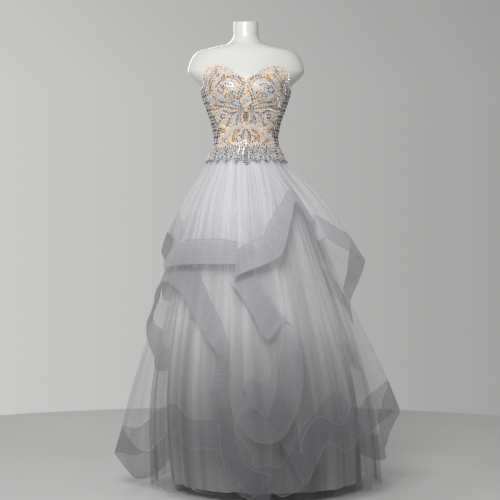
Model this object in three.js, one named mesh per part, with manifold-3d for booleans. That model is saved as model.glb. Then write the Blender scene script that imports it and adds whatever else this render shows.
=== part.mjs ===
// Strapless ball gown on a limbless dress form: a boned and beaded bodice above a satin lining skirt,
// a tulle underskirt and four cascading tulle layers, each edged with a stiff horsehair band.
// Millimetres, +Z up. The front faces -Y and +X is to the right of someone who looks at the front.
// The origin is on the floor, under the pole of the stand.
import * as THREE from 'three';
import { mergeVertices } from 'three/addons/utils/BufferGeometryUtils.js';
import Module from 'manifold-3d';

const wasm = await Module();
wasm.setup();

// ---- driving dimensions -------------------------------------------------------------------
const SEAM = 0.3; // gap between pieces that are sewn together
const BODICE_WALL = 2.0; // boned, interlined and embroidered
const LINING_WALL = 1.2;
const TULLE_WALL = 1.0;
const BAND_WALL = 1.6; // horsehair braid
const APPLIQUE_WALL = 1.4;
const FORM_CLEARANCE = 3.0; // between the dress form and the cloth
const WAIST_SEAM_Z = 1122; // dropped waist seam, where every skirt layer is gathered
const UNDERARM_Z = 1348; // top of the bodice at the sides and the back
const HEM_CLEARANCE = 20; // of the underskirt above the floor
const NECK_TOP_Z = 1588;
const BASE_RADIUS = 185;
const BASE_THICKNESS = 8;
const POLE_RADIUS = 16;

const rad = (degrees) => (degrees * Math.PI) / 180;
const clamp = (value, low, high) => Math.min(high, Math.max(low, value));
const lerp = (a, b, t) => a.map((v, k) => v + (b[k] - v) * t);

// Angles run round the body in degrees: 0 at the front, 90 at the side towards +X, 180 at the back.
const fromFront = (angle) => Math.abs(((((angle + 180) % 360) + 360) % 360) - 180);

// Value at z of a table of rows [z, a, b, ...], ordered from the highest z to the lowest.
function atHeight(table, z) {
  if (z >= table[0][0]) return table[0].slice(1);
  const last = table[table.length - 1];
  if (z <= last[0]) return last.slice(1);
  const i = table.findIndex((row) => z >= row[0]);
  const [upper, lower] = [table[i - 1], table[i]];
  return lerp(upper.slice(1), lower.slice(1), (upper[0] - z) / (upper[0] - lower[0]));
}

// ---- a general figure: the outer face of the bodice, and the dress form inside it ----------------
// z, half width, depth to the front, depth to the back
const FIGURE = [
  [NECK_TOP_Z, 47, 46, 46],
  [1540, 47, 48, 48],
  [1516, 58, 54, 56],
  [1502, 80, 60, 66],
  [1495, 114, 65, 74],
  [1488, 141, 70, 82],
  [1480, 168, 75, 88],
  [1464, 185, 82, 96],
  [1440, 197, 92, 104],
  [1412, 203, 104, 108],
  [1385, 184, 114, 108],
  [1360, 158, 120, 106],
  [1335, 149, 121, 103],
  [1310, 142, 117, 97],
  [1270, 127, 104, 88],
  [1225, 113, 90, 82],
  [1180, 106, 84, 80],
  [1150, 115, 90, 94],
  [WAIST_SEAM_Z, 124, 94, 103],
];
const CUP_APEX_Z = 1338;
const CUP_APEX_ANGLE = 30;
const CUP_SPREAD = 21; // degrees
const CUP_HEIGHT = 48;
const CUP_RISE = 15; // of the bodice's cups; the form stays inside them
const FORM_BUST_RISE = 9;

// A point of the figure's surface, pushed out by outset.
function figurePoint(angle, z, outset, rise = CUP_RISE) {
  const [width, front, back] = atHeight(FIGURE, z);
  const a = rad(angle);
  const depth = Math.cos(a) > 0 ? front : back;
  const across = (fromFront(angle) - CUP_APEX_ANGLE) / CUP_SPREAD;
  const cup = rise * Math.exp(-(across ** 2) - ((z - CUP_APEX_Z) / CUP_HEIGHT) ** 2);
  const k = 1 + (outset + cup) / Math.hypot(width * Math.sin(a), depth * Math.cos(a));
  return [width * Math.sin(a) * k, -depth * Math.cos(a) * k, z];
}

// ---- meshes ----------------------------------------------------------------------------------
// A closed wall from an open or closed grid of points: point(i, j, side) gives the inner face for
// side 0 and the outer face for side 1. Columns run round the body from left to right as seen from
// the front, rows run downwards.
function wall(columns, rows, closed, point) {
  const count = closed ? columns : columns + 1;
  const positions = [];
  for (let side = 0; side < 2; side++)
    for (let i = 0; i < count; i++)
      for (let j = 0; j <= rows; j++) positions.push(...point(i, j, side));
  const at = (i, j, side) => (side * count + (i % count)) * (rows + 1) + j;
  const index = [];
  const quad = (a, b, c, d) => index.push(a, b, c, a, c, d);
  for (let i = 0; i < columns; i++) {
    for (let j = 0; j < rows; j++) {
      quad(at(i, j, 1), at(i, j + 1, 1), at(i + 1, j + 1, 1), at(i + 1, j, 1));
      quad(at(i, j, 0), at(i + 1, j, 0), at(i + 1, j + 1, 0), at(i, j + 1, 0));
    }
    quad(at(i, 0, 0), at(i, 0, 1), at(i + 1, 0, 1), at(i + 1, 0, 0));
    quad(at(i, rows, 1), at(i, rows, 0), at(i + 1, rows, 0), at(i + 1, rows, 1));
  }
  if (!closed)
    for (let j = 0; j < rows; j++) {
      quad(at(0, j, 0), at(0, j + 1, 0), at(0, j + 1, 1), at(0, j, 1));
      quad(at(columns, j, 1), at(columns, j + 1, 1), at(columns, j + 1, 0), at(columns, j, 0));
    }
  return geometryOf(positions, index);
}

function geometryOf(positions, index) {
  const geometry = new THREE.BufferGeometry();
  geometry.setAttribute('position', new THREE.Float32BufferAttribute(positions, 3));
  geometry.setIndex(index);
  geometry.computeVertexNormals();
  return geometry;
}

// A solid stacked from closed rings, with flat ends. Rings run from the top to the bottom.
function stack(rings) {
  const n = rings[0].length;
  const positions = rings.flat(2);
  const centre = (ring) => [0, 1, 2].map((k) => ring.reduce((sum, p) => sum + p[k], 0) / n);
  const top = positions.length / 3;
  positions.push(...centre(rings[0]), ...centre(rings[rings.length - 1]));
  const index = [];
  for (let r = 0; r < rings.length - 1; r++)
    for (let i = 0; i < n; i++) {
      const [a, b] = [r * n + i, r * n + ((i + 1) % n)];
      index.push(a, a + n, b + n, a, b + n, b);
    }
  const lastRing = (rings.length - 1) * n;
  for (let i = 0; i < n; i++) {
    const next = (i + 1) % n;
    index.push(top, i, next, top + 1, lastRing + next, lastRing + i);
  }
  return geometryOf(positions, index);
}

function solidOf(geometry) {
  const bare = geometry.clone();
  bare.deleteAttribute('normal');
  bare.deleteAttribute('uv');
  const merged = mergeVertices(bare, 1e-4);
  return new wasm.Manifold(
    new wasm.Mesh({
      numProp: 3,
      vertProperties: merged.attributes.position.array,
      triVerts: new Uint32Array(merged.index.array),
    }),
  );
}

function fromSolid(solid) {
  const { vertProperties, triVerts } = solid.getMesh();
  return geometryOf(Array.from(vertProperties), Array.from(triVerts));
}

const gown = new THREE.Group();
const MATERIALS = {
  form: new THREE.MeshStandardMaterial({ color: 0xf2f1ee, roughness: 0.22, metalness: 0 }),
  steel: new THREE.MeshStandardMaterial({ color: 0xb9bcc0, roughness: 0.3, metalness: 1 }),
  bodice: new THREE.MeshStandardMaterial({ color: 0xd9c6b4, roughness: 0.55, metalness: 0 }),
  applique: new THREE.MeshStandardMaterial({ color: 0xb7b9c2, roughness: 0.4, metalness: 0.2 }),
  satin: new THREE.MeshStandardMaterial({ color: 0xdfe0e3, roughness: 0.35, metalness: 0 }),
  tulle: new THREE.MeshStandardMaterial({ color: 0xc6c8cf, roughness: 0.8, metalness: 0 }),
  horsehair: new THREE.MeshStandardMaterial({ color: 0x9b9eab, roughness: 0.5, metalness: 0 }),
  zip: new THREE.MeshStandardMaterial({ color: 0xb9bcc6, roughness: 0.35, metalness: 0.6 }),
};

function add(name, geometry, material) {
  const mesh = new THREE.Mesh(geometry, MATERIALS[material]);
  mesh.name = name;
  gown.add(mesh);
  return mesh;
}

// ---- dress form: torso, pole and base ----------------------------------------------------------
const FORM_SIDES = 32;
const FORM_BOTTOM_Z = 1012;
const FORM_LEVELS = [
  1540, 1516, 1502, 1495, 1488, 1480, 1464, 1440, 1412, 1385, 1360, 1335, 1310, 1270, 1225, 1180,
  1150, 1138,
];
// The form draws in below the waist seam, clear of the gathers: z, half width, front, back
const HIP = [
  [WAIST_SEAM_Z, 106, 77, 86],
  [1045, 120, 90, 101],
  [FORM_BOTTOM_Z, 120, 90, 101],
];

function formRing(z, slope = 0) {
  return Array.from({ length: FORM_SIDES }, (_, i) => {
    const angle = (i * 360) / FORM_SIDES;
    const [x, y] = figurePoint(angle, z, -BODICE_WALL - FORM_CLEARANCE, FORM_BUST_RISE);
    return [x, y, z + slope * y];
  });
}

function hipRing([z, width, front, back]) {
  return Array.from({ length: FORM_SIDES }, (_, i) => {
    const a = rad((i * 360) / FORM_SIDES);
    return [width * Math.sin(a), -(Math.cos(a) > 0 ? front : back) * Math.cos(a), z];
  });
}

function torso() {
  const neckSlope = 0.14; // the neck is cut lower at the front
  const neckBack = 43; // from the pole's axis to the highest point of the cut
  const rings = [formRing(NECK_TOP_Z - neckBack * neckSlope, neckSlope)];
  rings.push(...FORM_LEVELS.map((z) => formRing(z)), ...HIP.map(hipRing));
  let solid = solidOf(stack(rings));
  // Flat plates where arms would be joined on: everything beyond a slanting plane is cut away.
  const cutter = 220;
  const plateX = 199;
  const plateZ = 1408;
  const plateSlant = 38;
  for (const side of [-1, 1]) {
    const box = new THREE.BoxGeometry(cutter, 2 * cutter, 2 * cutter);
    box.translate(cutter / 2, 0, 0);
    box.rotateY(rad(side > 0 ? plateSlant : 180 - plateSlant));
    box.translate(side * plateX, 0, plateZ);
    solid = solid.subtract(solidOf(box));
  }
  return fromSolid(solid);
}
add('form_torso', torso(), 'form');

const poleLength = FORM_BOTTOM_Z - BASE_THICKNESS - 2 * SEAM;
const pole = new THREE.CylinderGeometry(POLE_RADIUS, POLE_RADIUS, poleLength, 16);
pole.rotateX(Math.PI / 2);
pole.translate(0, 0, (FORM_BOTTOM_Z + BASE_THICKNESS) / 2);
add('form_pole', pole, 'steel');

const base = new THREE.CylinderGeometry(BASE_RADIUS - 4, BASE_RADIUS, BASE_THICKNESS, 32);
base.rotateX(Math.PI / 2);
base.translate(0, 0, BASE_THICKNESS / 2);
add('form_base', base, 'steel');

// ---- bodice ------------------------------------------------------------------------------------
// Sweetheart top edge: degrees from the front, height
const TOP_EDGE = [
  [0, 1373],
  [7.5, 1386],
  [15, 1408],
  [22.5, 1420],
  [30, 1422],
  [37.5, 1415],
  [45, 1400],
  [52.5, 1382],
  [60, 1366],
  [75, 1352],
  [90, UNDERARM_Z],
  [180, UNDERARM_Z],
];
const BODICE_BOTTOM_Z = WAIST_SEAM_Z + SEAM;
const BODICE_STEP = 7.5; // degrees from one column of points to the next
const BODICE_LEVELS = [1310, 1270, 1225, 1180, 1150, BODICE_BOTTOM_Z];
const CUP_ROWS = 3; // between the top edge and the first level
const CENTRE_SEAM = 30; // princess seams run over the cups
const SIDE_SEAM = 90;
const ZIP_HALF_WIDTH = 1.9;

function topEdge(angle) {
  const off = fromFront(angle);
  const i = Math.max(1, TOP_EDGE.findIndex((row) => off <= row[0]));
  const [a, b] = [TOP_EDGE[i - 1], TOP_EDGE[i]];
  return a[1] + ((b[1] - a[1]) * (off - a[0])) / (b[0] - a[0]);
}

function bodiceHeight(angle, j) {
  if (j >= CUP_ROWS) return BODICE_LEVELS[j - CUP_ROWS];
  const top = topEdge(angle);
  return top + ((BODICE_LEVELS[0] - top) * j) / CUP_ROWS;
}

// The first and the last column stand back from the seam line by half a gap.
function besideSeam(point, side, gap) {
  const [x, y, z] = point;
  const length = Math.hypot(x, y);
  return [x - (side * gap * y) / length, y + (side * gap * x) / length, z];
}

function bodicePanel(name, from, to, gaps = [SEAM / 2, SEAM / 2]) {
  const columns = Math.round((to - from) / BODICE_STEP);
  const rows = CUP_ROWS + BODICE_LEVELS.length - 1;
  const geometry = wall(columns, rows, false, (i, j, side) => {
    const angle = from + i * BODICE_STEP;
    const point = figurePoint(angle, bodiceHeight(angle, j), side === 1 ? 0 : -BODICE_WALL);
    if (i === 0) return besideSeam(point, 1, gaps[0]);
    return i === columns ? besideSeam(point, -1, gaps[1]) : point;
  });
  add(name, geometry, 'bodice');
}
const zipGap = ZIP_HALF_WIDTH + SEAM;
bodicePanel('bodice_centre_front', -CENTRE_SEAM, CENTRE_SEAM);
bodicePanel('bodice_side_front_left', -SIDE_SEAM, -CENTRE_SEAM);
bodicePanel('bodice_side_front_right', CENTRE_SEAM, SIDE_SEAM);
bodicePanel('bodice_back_left', -180, -SIDE_SEAM, [zipGap, SEAM / 2]);
bodicePanel('bodice_back_right', SIDE_SEAM, 180, [SEAM / 2, zipGap]);

// ---- zip at the centre back ----------------------------------------------------------------------
const SLIDER_Z = 1330;
const zipLine = (z) => figurePoint(180, z, 0)[1];
const ZIP_LEVELS = [SLIDER_Z + 8, ...BODICE_LEVELS];
add(
  'zip_coil',
  wall(1, ZIP_LEVELS.length - 1, false, (i, j, side) => [
    (i === 0 ? 1 : -1) * ZIP_HALF_WIDTH,
    zipLine(ZIP_LEVELS[j]) - (side === 1 ? 0 : BODICE_WALL),
    ZIP_LEVELS[j],
  ]),
  'zip',
);

// The slider stands on the closed end of the zip, and its pull hangs from a pin between two ears.
const PIVOT = { y: zipLine(SLIDER_Z) + 5.4, z: SLIDER_Z + 1 };
const PIN_RADIUS = 0.7;
const EYE_RADIUS = 1.1;
const BARREL_RADIUS = 2.1;
const EAR_GAP = 3.6;
const EAR_THICKNESS = 1.0;
const alongX = (geometry) => geometry.rotateZ(Math.PI / 2);

function slider() {
  const face = zipLine(SLIDER_Z) + 1.6;
  const body = new THREE.BoxGeometry(7.4, 1.4, 11);
  body.translate(0, face + 0.7, SLIDER_Z);
  let solid = solidOf(body);
  const reach = PIVOT.y + 1.6 - face;
  for (const side of [-1, 1]) {
    const ear = new THREE.BoxGeometry(EAR_THICKNESS, reach, 3.4);
    ear.translate((side * (EAR_GAP + EAR_THICKNESS)) / 2, face + reach / 2, PIVOT.z);
    solid = solid.add(solidOf(ear));
  }
  const pin = alongX(new THREE.CylinderGeometry(PIN_RADIUS, PIN_RADIUS, EAR_GAP + 1, 12));
  pin.translate(0, PIVOT.y, PIVOT.z);
  return fromSolid(solid.add(solidOf(pin)));
}
add('zip_slider', slider(), 'zip');

function pull() {
  const width = EAR_GAP - 0.8;
  const barrel = alongX(new THREE.CylinderGeometry(BARREL_RADIUS, BARREL_RADIUS, width, 16));
  const eye = alongX(new THREE.CylinderGeometry(EYE_RADIUS, EYE_RADIUS, width + 2, 16));
  const leaf = new THREE.Shape();
  leaf.moveTo(-width / 2, -1.6);
  leaf.lineTo(-3, -14);
  leaf.absarc(0, -17, 3.4, rad(160), rad(380), false);
  leaf.lineTo(3, -14);
  leaf.lineTo(width / 2, -1.6);
  leaf.closePath();
  const thickness = 1.2;
  const settings = { depth: thickness, bevelEnabled: false, curveSegments: 8 };
  const blade = new THREE.ExtrudeGeometry(leaf, settings);
  blade.translate(0, 0, -thickness / 2);
  blade.rotateX(Math.PI / 2);
  return fromSolid(solidOf(barrel).add(solidOf(blade)).subtract(solidOf(eye)));
}
const pullMesh = add('zip_pull', pull(), 'zip');
pullMesh.position.set(0, PIVOT.y, PIVOT.z);

// ---- skirt: every layer is drawn as a distance from one bell-shaped envelope ---------------------
// z, half width, depth to the front, depth to the back
const BELL = [
  [WAIST_SEAM_Z, 115, 85, 94],
  [1060, 142, 112, 122],
  [980, 184, 152, 163],
  [740, 268, 243, 263],
  [560, 328, 303, 326],
  [420, 366, 341, 369],
  [300, 391, 365, 398],
  [150, 406, 380, 420],
  [0, 413, 387, 431],
];
const BELL_SWAY = 70; // the skirt is spread to the right: its hem is this far off the pole
const SKIRT_LEVELS = [1060, 860, 480];

function bellPoint(angle, z, outset) {
  const [width, front, back] = atHeight(BELL, z);
  const a = rad(angle);
  const depth = Math.cos(a) > 0 ? front : back;
  const sway = BELL_SWAY * (1 - Math.min(z, WAIST_SEAM_Z) / WAIST_SEAM_Z);
  return [sway + (width + outset) * Math.sin(a), -(depth + outset) * Math.cos(a), z];
}

// The two faces of a sheet of cloth: its points, moved along the sheet's own normal both ways.
function faces(grid, closed, thickness) {
  const columns = grid.length;
  const pick = (i, j) => {
    const column = grid[closed ? (i + columns) % columns : clamp(i, 0, columns - 1)];
    return new THREE.Vector3(...column[clamp(j, 0, column.length - 1)]);
  };
  return grid.map((column, i) =>
    column.map((point, j) => {
      const across = pick(i + 1, j).sub(pick(i - 1, j));
      const down = pick(i, j + 1).sub(pick(i, j - 1));
      const step = down.cross(across).setLength(thickness / 2).toArray();
      return [-1, 1].map((side) => point.map((v, k) => v + side * step[k]));
    }),
  );
}

function clothWall(name, pairs, closed, material) {
  const columns = closed ? pairs.length : pairs.length - 1;
  const rows = pairs[0].length - 1;
  add(name, wall(columns, rows, closed, (i, j, side) => pairs[i][j][side]), material);
}

// A layer of even length, with soft pleats that open towards the hem.
function roundLayer(name, { columns, hem, outset, pleats, depth, thickness, material }) {
  const grid = Array.from({ length: columns }, (_, i) => {
    const angle = (i * 360) / columns;
    return [WAIST_SEAM_Z, ...SKIRT_LEVELS, hem].map((z) => {
      const drop = 1 - z / WAIST_SEAM_Z;
      return bellPoint(angle, z, outset(drop) + depth * drop * Math.cos(rad(angle * pleats)));
    });
  });
  clothWall(name, faces(grid, true, thickness), true, material);
}

roundLayer('skirt_lining', {
  columns: 40,
  hem: HEM_CLEARANCE + 10,
  outset: (drop) => -4 - 95 * drop,
  pleats: 10,
  depth: 10,
  thickness: LINING_WALL,
  material: 'satin',
});
roundLayer('tulle_underskirt', {
  columns: 54,
  hem: HEM_CLEARANCE,
  outset: (drop) => -2 - 30 * drop,
  pleats: 18,
  depth: 8,
  thickness: TULLE_WALL,
  material: 'tulle',
});

// ---- cascading layers ------------------------------------------------------------------------------
// A hem is a smooth curve through rows: the gathering angle at the waist seam, then the hem's own
// angle, height and outset. face is the part of the band's breadth that faces outwards, and square
// says how square to the hem the band stands (0 is straight up); inner, where it is given, is the
// angle and height of the band's inner edge. Where the hem runs back under itself, its ply of the
// pleat is reversed, and tuck keeps the plies clear of each other at the waist seam. A small flare
// makes the cloth stand out right under the border, a large one only near the hem.
const row = (gather, angle, z, out, options = {}) => ({
  place: [gather, angle, z, out, options.tuck ?? 0],
  face: 1,
  square: 0.8,
  reversed: false,
  ...options,
});
const soft = { square: 0.4 };
const under = { tuck: 3, reversed: true };

// Even flutes round the back, where the hem swings between two heights and two outsets.
function flutes(from, to, count, [low, high], [outer, inner]) {
  return Array.from({ length: count }, (_, k) => {
    const angle = from + ((to - from) * k) / (count - 1);
    return row(angle, angle, k % 2 ? high : low, k % 2 ? inner : outer, soft);
  });
}

const TOP_LAYER = {
  name: 'top_layer',
  closed: true,
  band: 80,
  rest: (drop) => 11 + 24 * drop,
  flare: 1.15,
  levels: [1092, 1010, 900],
  hem: [
    row(-109, -107, 755, 55),
    row(-99, -96, 805, 64),
    row(-90, -90, 865, 58),
    row(-74, -67, 838, 46, { inner: [-61, 890] }),
    row(-57, -69, 755, 56, { inner: [-56, 820] }),
    row(-52, -50, 757, 52),
    row(-36, -34, 760, 50),
    row(-22, -19, 760, 50),
    row(-14, -7, 757, 50, { face: 0.9 }),
    row(-10, -11, 720, 70, soft),
    row(-4, -2, 742, 70, soft),
    row(6, 9, 765, 70, { square: 0.6 }),
    row(14, 18, 795, 65),
    row(22, 24, 850, 58, { face: 0.85 }),
    row(29, 32, 915, 52, { face: 0.6 }),
    row(36, 41, 965, 46, { face: 0.45, square: 0.5 }),
    row(42, 45, 900, 55, { face: 0.35 }),
    row(47, 45, 838, 66, { face: 0.9, square: 0.6 }),
    row(52, 51, 845, 84),
    row(60, 58, 822, 96, { flare: 0.9 }),
    row(70, 74, 787, 114, { flare: 0.7 }),
    row(82, 90, 765, 122, { flare: 0.6 }),
    row(92, 99, 695, 80, { face: 0.8, flare: 0.6 }),
    row(102, 105, 620, 32, { face: 0.6, flare: 0.8 }),
    row(113, 112, 545, 30, { face: 0.7 }),
    ...flutes(126, 238, 7, [625, 705], [66, 40]),
  ],
};
const CENTRE_CASCADE = {
  name: 'centre_cascade',
  closed: false,
  band: 80,
  rest: (drop) => 4 + 14 * drop,
  flare: 2.2,
  levels: SKIRT_LEVELS,
  hem: [
    row(-14, -14, 700, 40, { tuck: 5 }),
    row(-6, -8, 665, 50, { tuck: 5 }),
    row(3, -2, 605, 60, { tuck: 5 }),
    row(12, 4, 527, 70, { tuck: 5, inner: [12, 600] }),
    row(17, 13, 580, 68, { tuck: 5, inner: [14, 597] }),
    row(17.5, 18, 545, 66, { ...under, inner: [13, 560] }),
    row(15, 19, 470, 66, { ...under, face: 0.8 }),
    row(12, 17, 380, 68, under),
    row(8, 13, 300, 70, under),
    row(4, 7, 230, 70, under),
    row(0, 0, 214, 70, under),
    row(-4, -6, 238, 68, { ...under, square: 0.6 }),
    row(-6, -9.5, 290, 64, { ...under, face: 0.6, square: 0.6 }),
    row(-6, -6, 335, 54, { inner: [-7, 395] }),
    row(0, 1, 280, 46, { square: 0.2 }),
    row(8, 9, 180, 50, { square: 0.3 }),
    row(14, 14.5, 85, 56, { square: 0 }),
    row(20, 19, 130, 55, { square: 0.2 }),
    row(27, 26, 205, 50, soft),
    row(36, 35, 175, 50, soft),
    row(44, 44, 230, 54, soft),
  ],
};
const LEFT_CASCADE = {
  name: 'left_cascade',
  closed: false,
  band: 85,
  rest: (drop) => 2 + 6 * drop,
  flare: 2.2,
  levels: SKIRT_LEVELS,
  hem: [
    ...flutes(-238, -126, 7, [370, 430], [52, 26]),
    row(-112, -109, 430, 22, soft),
    row(-106, -100, 505, 42, { face: 0.7 }),
    row(-100, -96, 560, 48, { face: 0.6 }),
    row(-92, -96, 610, 42, { face: 0.6 }),
    row(-76, -80, 685, 38),
    row(-64, -62, 700, 36, { square: 0.6 }),
    row(-52, -45, 655, 32),
    row(-36, -31, 565, 35, { face: 0.9 }),
    row(-24, -23, 510, 40, { face: 0.7 }),
    row(-18, -19, 470, 46, { face: 0.4 }),
    row(-15.5, -21, 405, 42, { face: 0.6 }),
    row(-13.5, -22, 345, 40, { face: 0.75 }),
    row(-11.5, -18.5, 280, 40, { face: 0.6 }),
    row(-9, -18, 200, 42, { face: 0.65 }),
    row(-5, -16, 115, 44, { face: 0.8, square: 0.7 }),
    row(1, -10, 50, 46, { square: 0.5 }),
    row(9, 1, 24, 46, soft),
  ],
};
const LOW_LAYER = {
  name: 'low_layer',
  closed: true,
  band: 90,
  rest: () => 0,
  flare: 2.2,
  levels: SKIRT_LEVELS,
  hem: [
    ...flutes(-234, -136, 6, [60, 115], [44, 6]),
    row(-121, -121, 30, 14, soft),
    row(-110, -109, 12, 16, soft),
    row(-98, -97, 26, 48, soft),
    row(-90, -90, 118, 102),
    row(-77, -75, 125, 32, soft),
    row(-61, -59, 172, 16, soft),
    row(-47, -46, 225, 4, soft),
    row(-36, -34, 182, 24, soft),
    row(-22, -22, 184, 18, { square: 0.6 }),
    row(-13, -13, 100, 14, { square: 0.6 }),
    row(-4, -5, 42, 18, { square: 0.2 }),
    row(0, 0, 75, 6, { face: 0.7, square: 0 }),
    row(5, 6, 42, 17, { square: 0.2 }),
    row(15, 15, 75, 12, soft),
    row(27, 26, 185, 15, { square: 0.6 }),
    row(38, 39, 262, 0, soft),
    row(46, 46, 212, 32, soft),
    row(57, 58, 250, 54, soft),
    row(70, 76, 278, 76, soft),
    row(82, 88, 205, 36, soft),
    row(95, 99, 130, 18, soft),
    row(111, 111, 70, 42, soft),
  ],
};

const LEAST_TURN = 0.7; // sine of the least angle between the band's breadth and its hem
const HIGHEST_BAND_Z = WAIST_SEAM_Z - 50;

// Where the band's inner edge lies beside row k of the hem: square to it, on the waist's side.
function innerEdge({ hem, closed, band }, k) {
  const n = hem.length;
  const beside = (j) => (closed ? hem[(j + n) % n] : hem[clamp(j, 0, n - 1)]).place;
  const { place, face, square, reversed, inner } = hem[k];
  if (inner) return inner;
  const [, angle, z, out] = place;
  const [before, after] = [beside(k - 1), beside(k + 1)];
  const [width] = atHeight(BELL, z);
  const reach = width + out;
  const turn = ((after[1] - before[1] + 540) % 360) - 180;
  const tangent = new THREE.Vector2(rad(turn) * reach, after[2] - before[2]).normalize();
  const side = reversed ? -1 : 1;
  const step = new THREE.Vector2(-tangent.y * side * square, tangent.x * side * square + 1 - square);
  step.normalize();
  const breadth = Math.abs(step.cross(tangent));
  step.multiplyScalar((band * face) / Math.max(breadth, LEAST_TURN));
  return [angle + (step.x / reach) * (180 / Math.PI), Math.min(z + step.y, HIGHEST_BAND_Z)];
}

// The rows of a layer with their inner edges, smoothed; t counts rows of the table.
function hemAt(rows, closed, t) {
  const n = rows.length;
  const i = Math.floor(t);
  const u = t - i;
  const rowAt = (k) => {
    if (!closed) return rows[clamp(k, 0, n - 1)];
    const turns = Math.floor(k / n);
    const [gather, angle, innerAngle, ...others] = rows[k - turns * n];
    return [gather + 360 * turns, angle + 360 * turns, innerAngle + 360 * turns, ...others];
  };
  const [a, b, c, d] = [rowAt(i - 1), rowAt(i), rowAt(i + 1), rowAt(i + 2)];
  return b.map((p, k) => {
    const slope = c[k] - a[k];
    const bend = 2 * a[k] - 5 * p + 4 * c[k] - d[k];
    return p + 0.5 * u * (slope + u * (bend + u * (3 * (p - c[k]) + d[k] - a[k])));
  });
}

const GATHER_END_Z = 1092; // down to here the border holds the gathers flat
const LEAN = 1.4; // how late a column leaves its gathering angle for that of its hem

// One line of the sheet, from the waist seam down to the hem.
function columnAt(layer, rows, t) {
  const [gather, angle, innerAngle, z, innerZ, out, tuck, flare] = hemAt(rows, layer.closed, t);
  const lowest = Math.min(z, innerZ);
  const outset = (height) => {
    const rest = layer.rest(1 - height / WAIST_SEAM_Z) + tuck;
    const part = Math.max(0, GATHER_END_Z - height) / (GATHER_END_Z - lowest);
    return rest + (out - layer.rest(1 - z / WAIST_SEAM_Z) - tuck) * part ** flare;
  };
  const onLine = (height) => {
    const part = (WAIST_SEAM_Z - height) / (WAIST_SEAM_Z - innerZ);
    return bellPoint(gather + (innerAngle - gather) * part ** LEAN, height, outset(height));
  };
  const spare = 14; // least height of one row of the grid
  const count = layer.levels.length;
  const heights = layer.levels.map((level, k) => Math.max(level, innerZ + spare * (count - k)));
  return [WAIST_SEAM_Z, ...heights, innerZ].map(onLine).concat([bellPoint(angle, z, out)]);
}

const LEAST_SKEW = 0.15; // where the band runs almost along its own edge, at a fold

function cascade(layer) {
  const spans = layer.closed ? layer.hem.length : layer.hem.length - 1;
  const columns = spans * 2;
  const count = layer.closed ? columns : columns + 1;
  const rows = layer.hem.map(({ place: [gather, angle, z, out, tuck], flare = layer.flare }, k) => {
    const [innerAngle, innerZ] = innerEdge(layer, k);
    return [gather, angle, innerAngle, z, innerZ, out, tuck, flare];
  });
  const grid = Array.from({ length: count }, (_, i) => columnAt(layer, rows, i / 2));
  const last = grid[0].length - 1;
  const cloth = faces(grid, layer.closed, TULLE_WALL).map((column) => column.slice(0, last));
  clothWall(layer.name, cloth, layer.closed, 'tulle');
  // The band starts one seam beyond the cloth, on the same faces.
  const band = faces(grid, layer.closed, BAND_WALL).map((column, i) => {
    const edge = (k) => {
      const near = layer.closed ? (i + k + count) % count : clamp(i + k, 0, count - 1);
      return new THREE.Vector3(...grid[near][last - 1]);
    };
    const fall = new THREE.Vector3(...grid[i][last]).sub(edge(0));
    const skew = Math.sin(fall.angleTo(edge(1).sub(edge(-1))));
    const gap = SEAM / Math.max(skew, LEAST_SKEW) / fall.length();
    const [inner, hem] = column.slice(last - 1);
    return [inner.map((point, side) => lerp(point, hem[side], gap)), hem];
  });
  clothWall(`${layer.name}_band`, band, layer.closed, 'horsehair');
}
cascade(LOW_LAYER);
cascade(LEFT_CASCADE);
cascade(CENTRE_CASCADE);
cascade(TOP_LAYER);

// ---- beaded applique over the waist seam, with pointed drops along its lower edge --------------------
const APPLIQUE_TOP_Z = 1150;
const APPLIQUE_OUTSET = 13; // from the bell, over the gathers
const APPLIQUE_SLOPE = 0.1; // how much it stands out as it goes down
const APPLIQUE_DROPS = [10, 24]; // below the waist seam, by turns
const CENTRE_DROP = 8; // the drops are this much longer at the centre front

function applique(name, from, to) {
  const columns = Math.round((to - from) / BODICE_STEP);
  const geometry = wall(columns, 2, false, (i, j, side) => {
    const angle = from + i * BODICE_STEP;
    const middle = Math.exp(-((fromFront(angle) / 14) ** 2));
    const drop = APPLIQUE_DROPS[i % 2] + CENTRE_DROP * middle;
    const out = side * APPLIQUE_WALL;
    const points = [
      figurePoint(angle, APPLIQUE_TOP_Z, SEAM + out),
      bellPoint(angle, WAIST_SEAM_Z, APPLIQUE_OUTSET + out),
      bellPoint(angle, WAIST_SEAM_Z - drop, APPLIQUE_OUTSET + APPLIQUE_SLOPE * drop + out),
    ];
    if (i === 0) return besideSeam(points[j], 1, SEAM / 2);
    return i === columns ? besideSeam(points[j], -1, SEAM / 2) : points[j];
  });
  add(name, geometry, 'applique');
}
applique('applique_front', -SIDE_SEAM, SIDE_SEAM);
applique('applique_back', SIDE_SEAM, 360 - SIDE_SEAM);

export default gown;
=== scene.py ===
# %% [markdown]
# # A ball gown on a dress form
# The gown is a boned bodice, thick with embroidery and stones, over a floor-length skirt of tulle.
# Each tulle layer hangs from the waist seam, is cut long at one side and short at another, and is
# edged with a stiff horsehair band, so its hem stands out in waves and folds over itself.
# Sheer cloth is mostly about how many threads lie behind each other, so the skirt is made of open
# single sheets whose cover is worked out from how tightly the net is gathered at each point.

# %% The frame
import itertools
import math
from functools import partial

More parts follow.
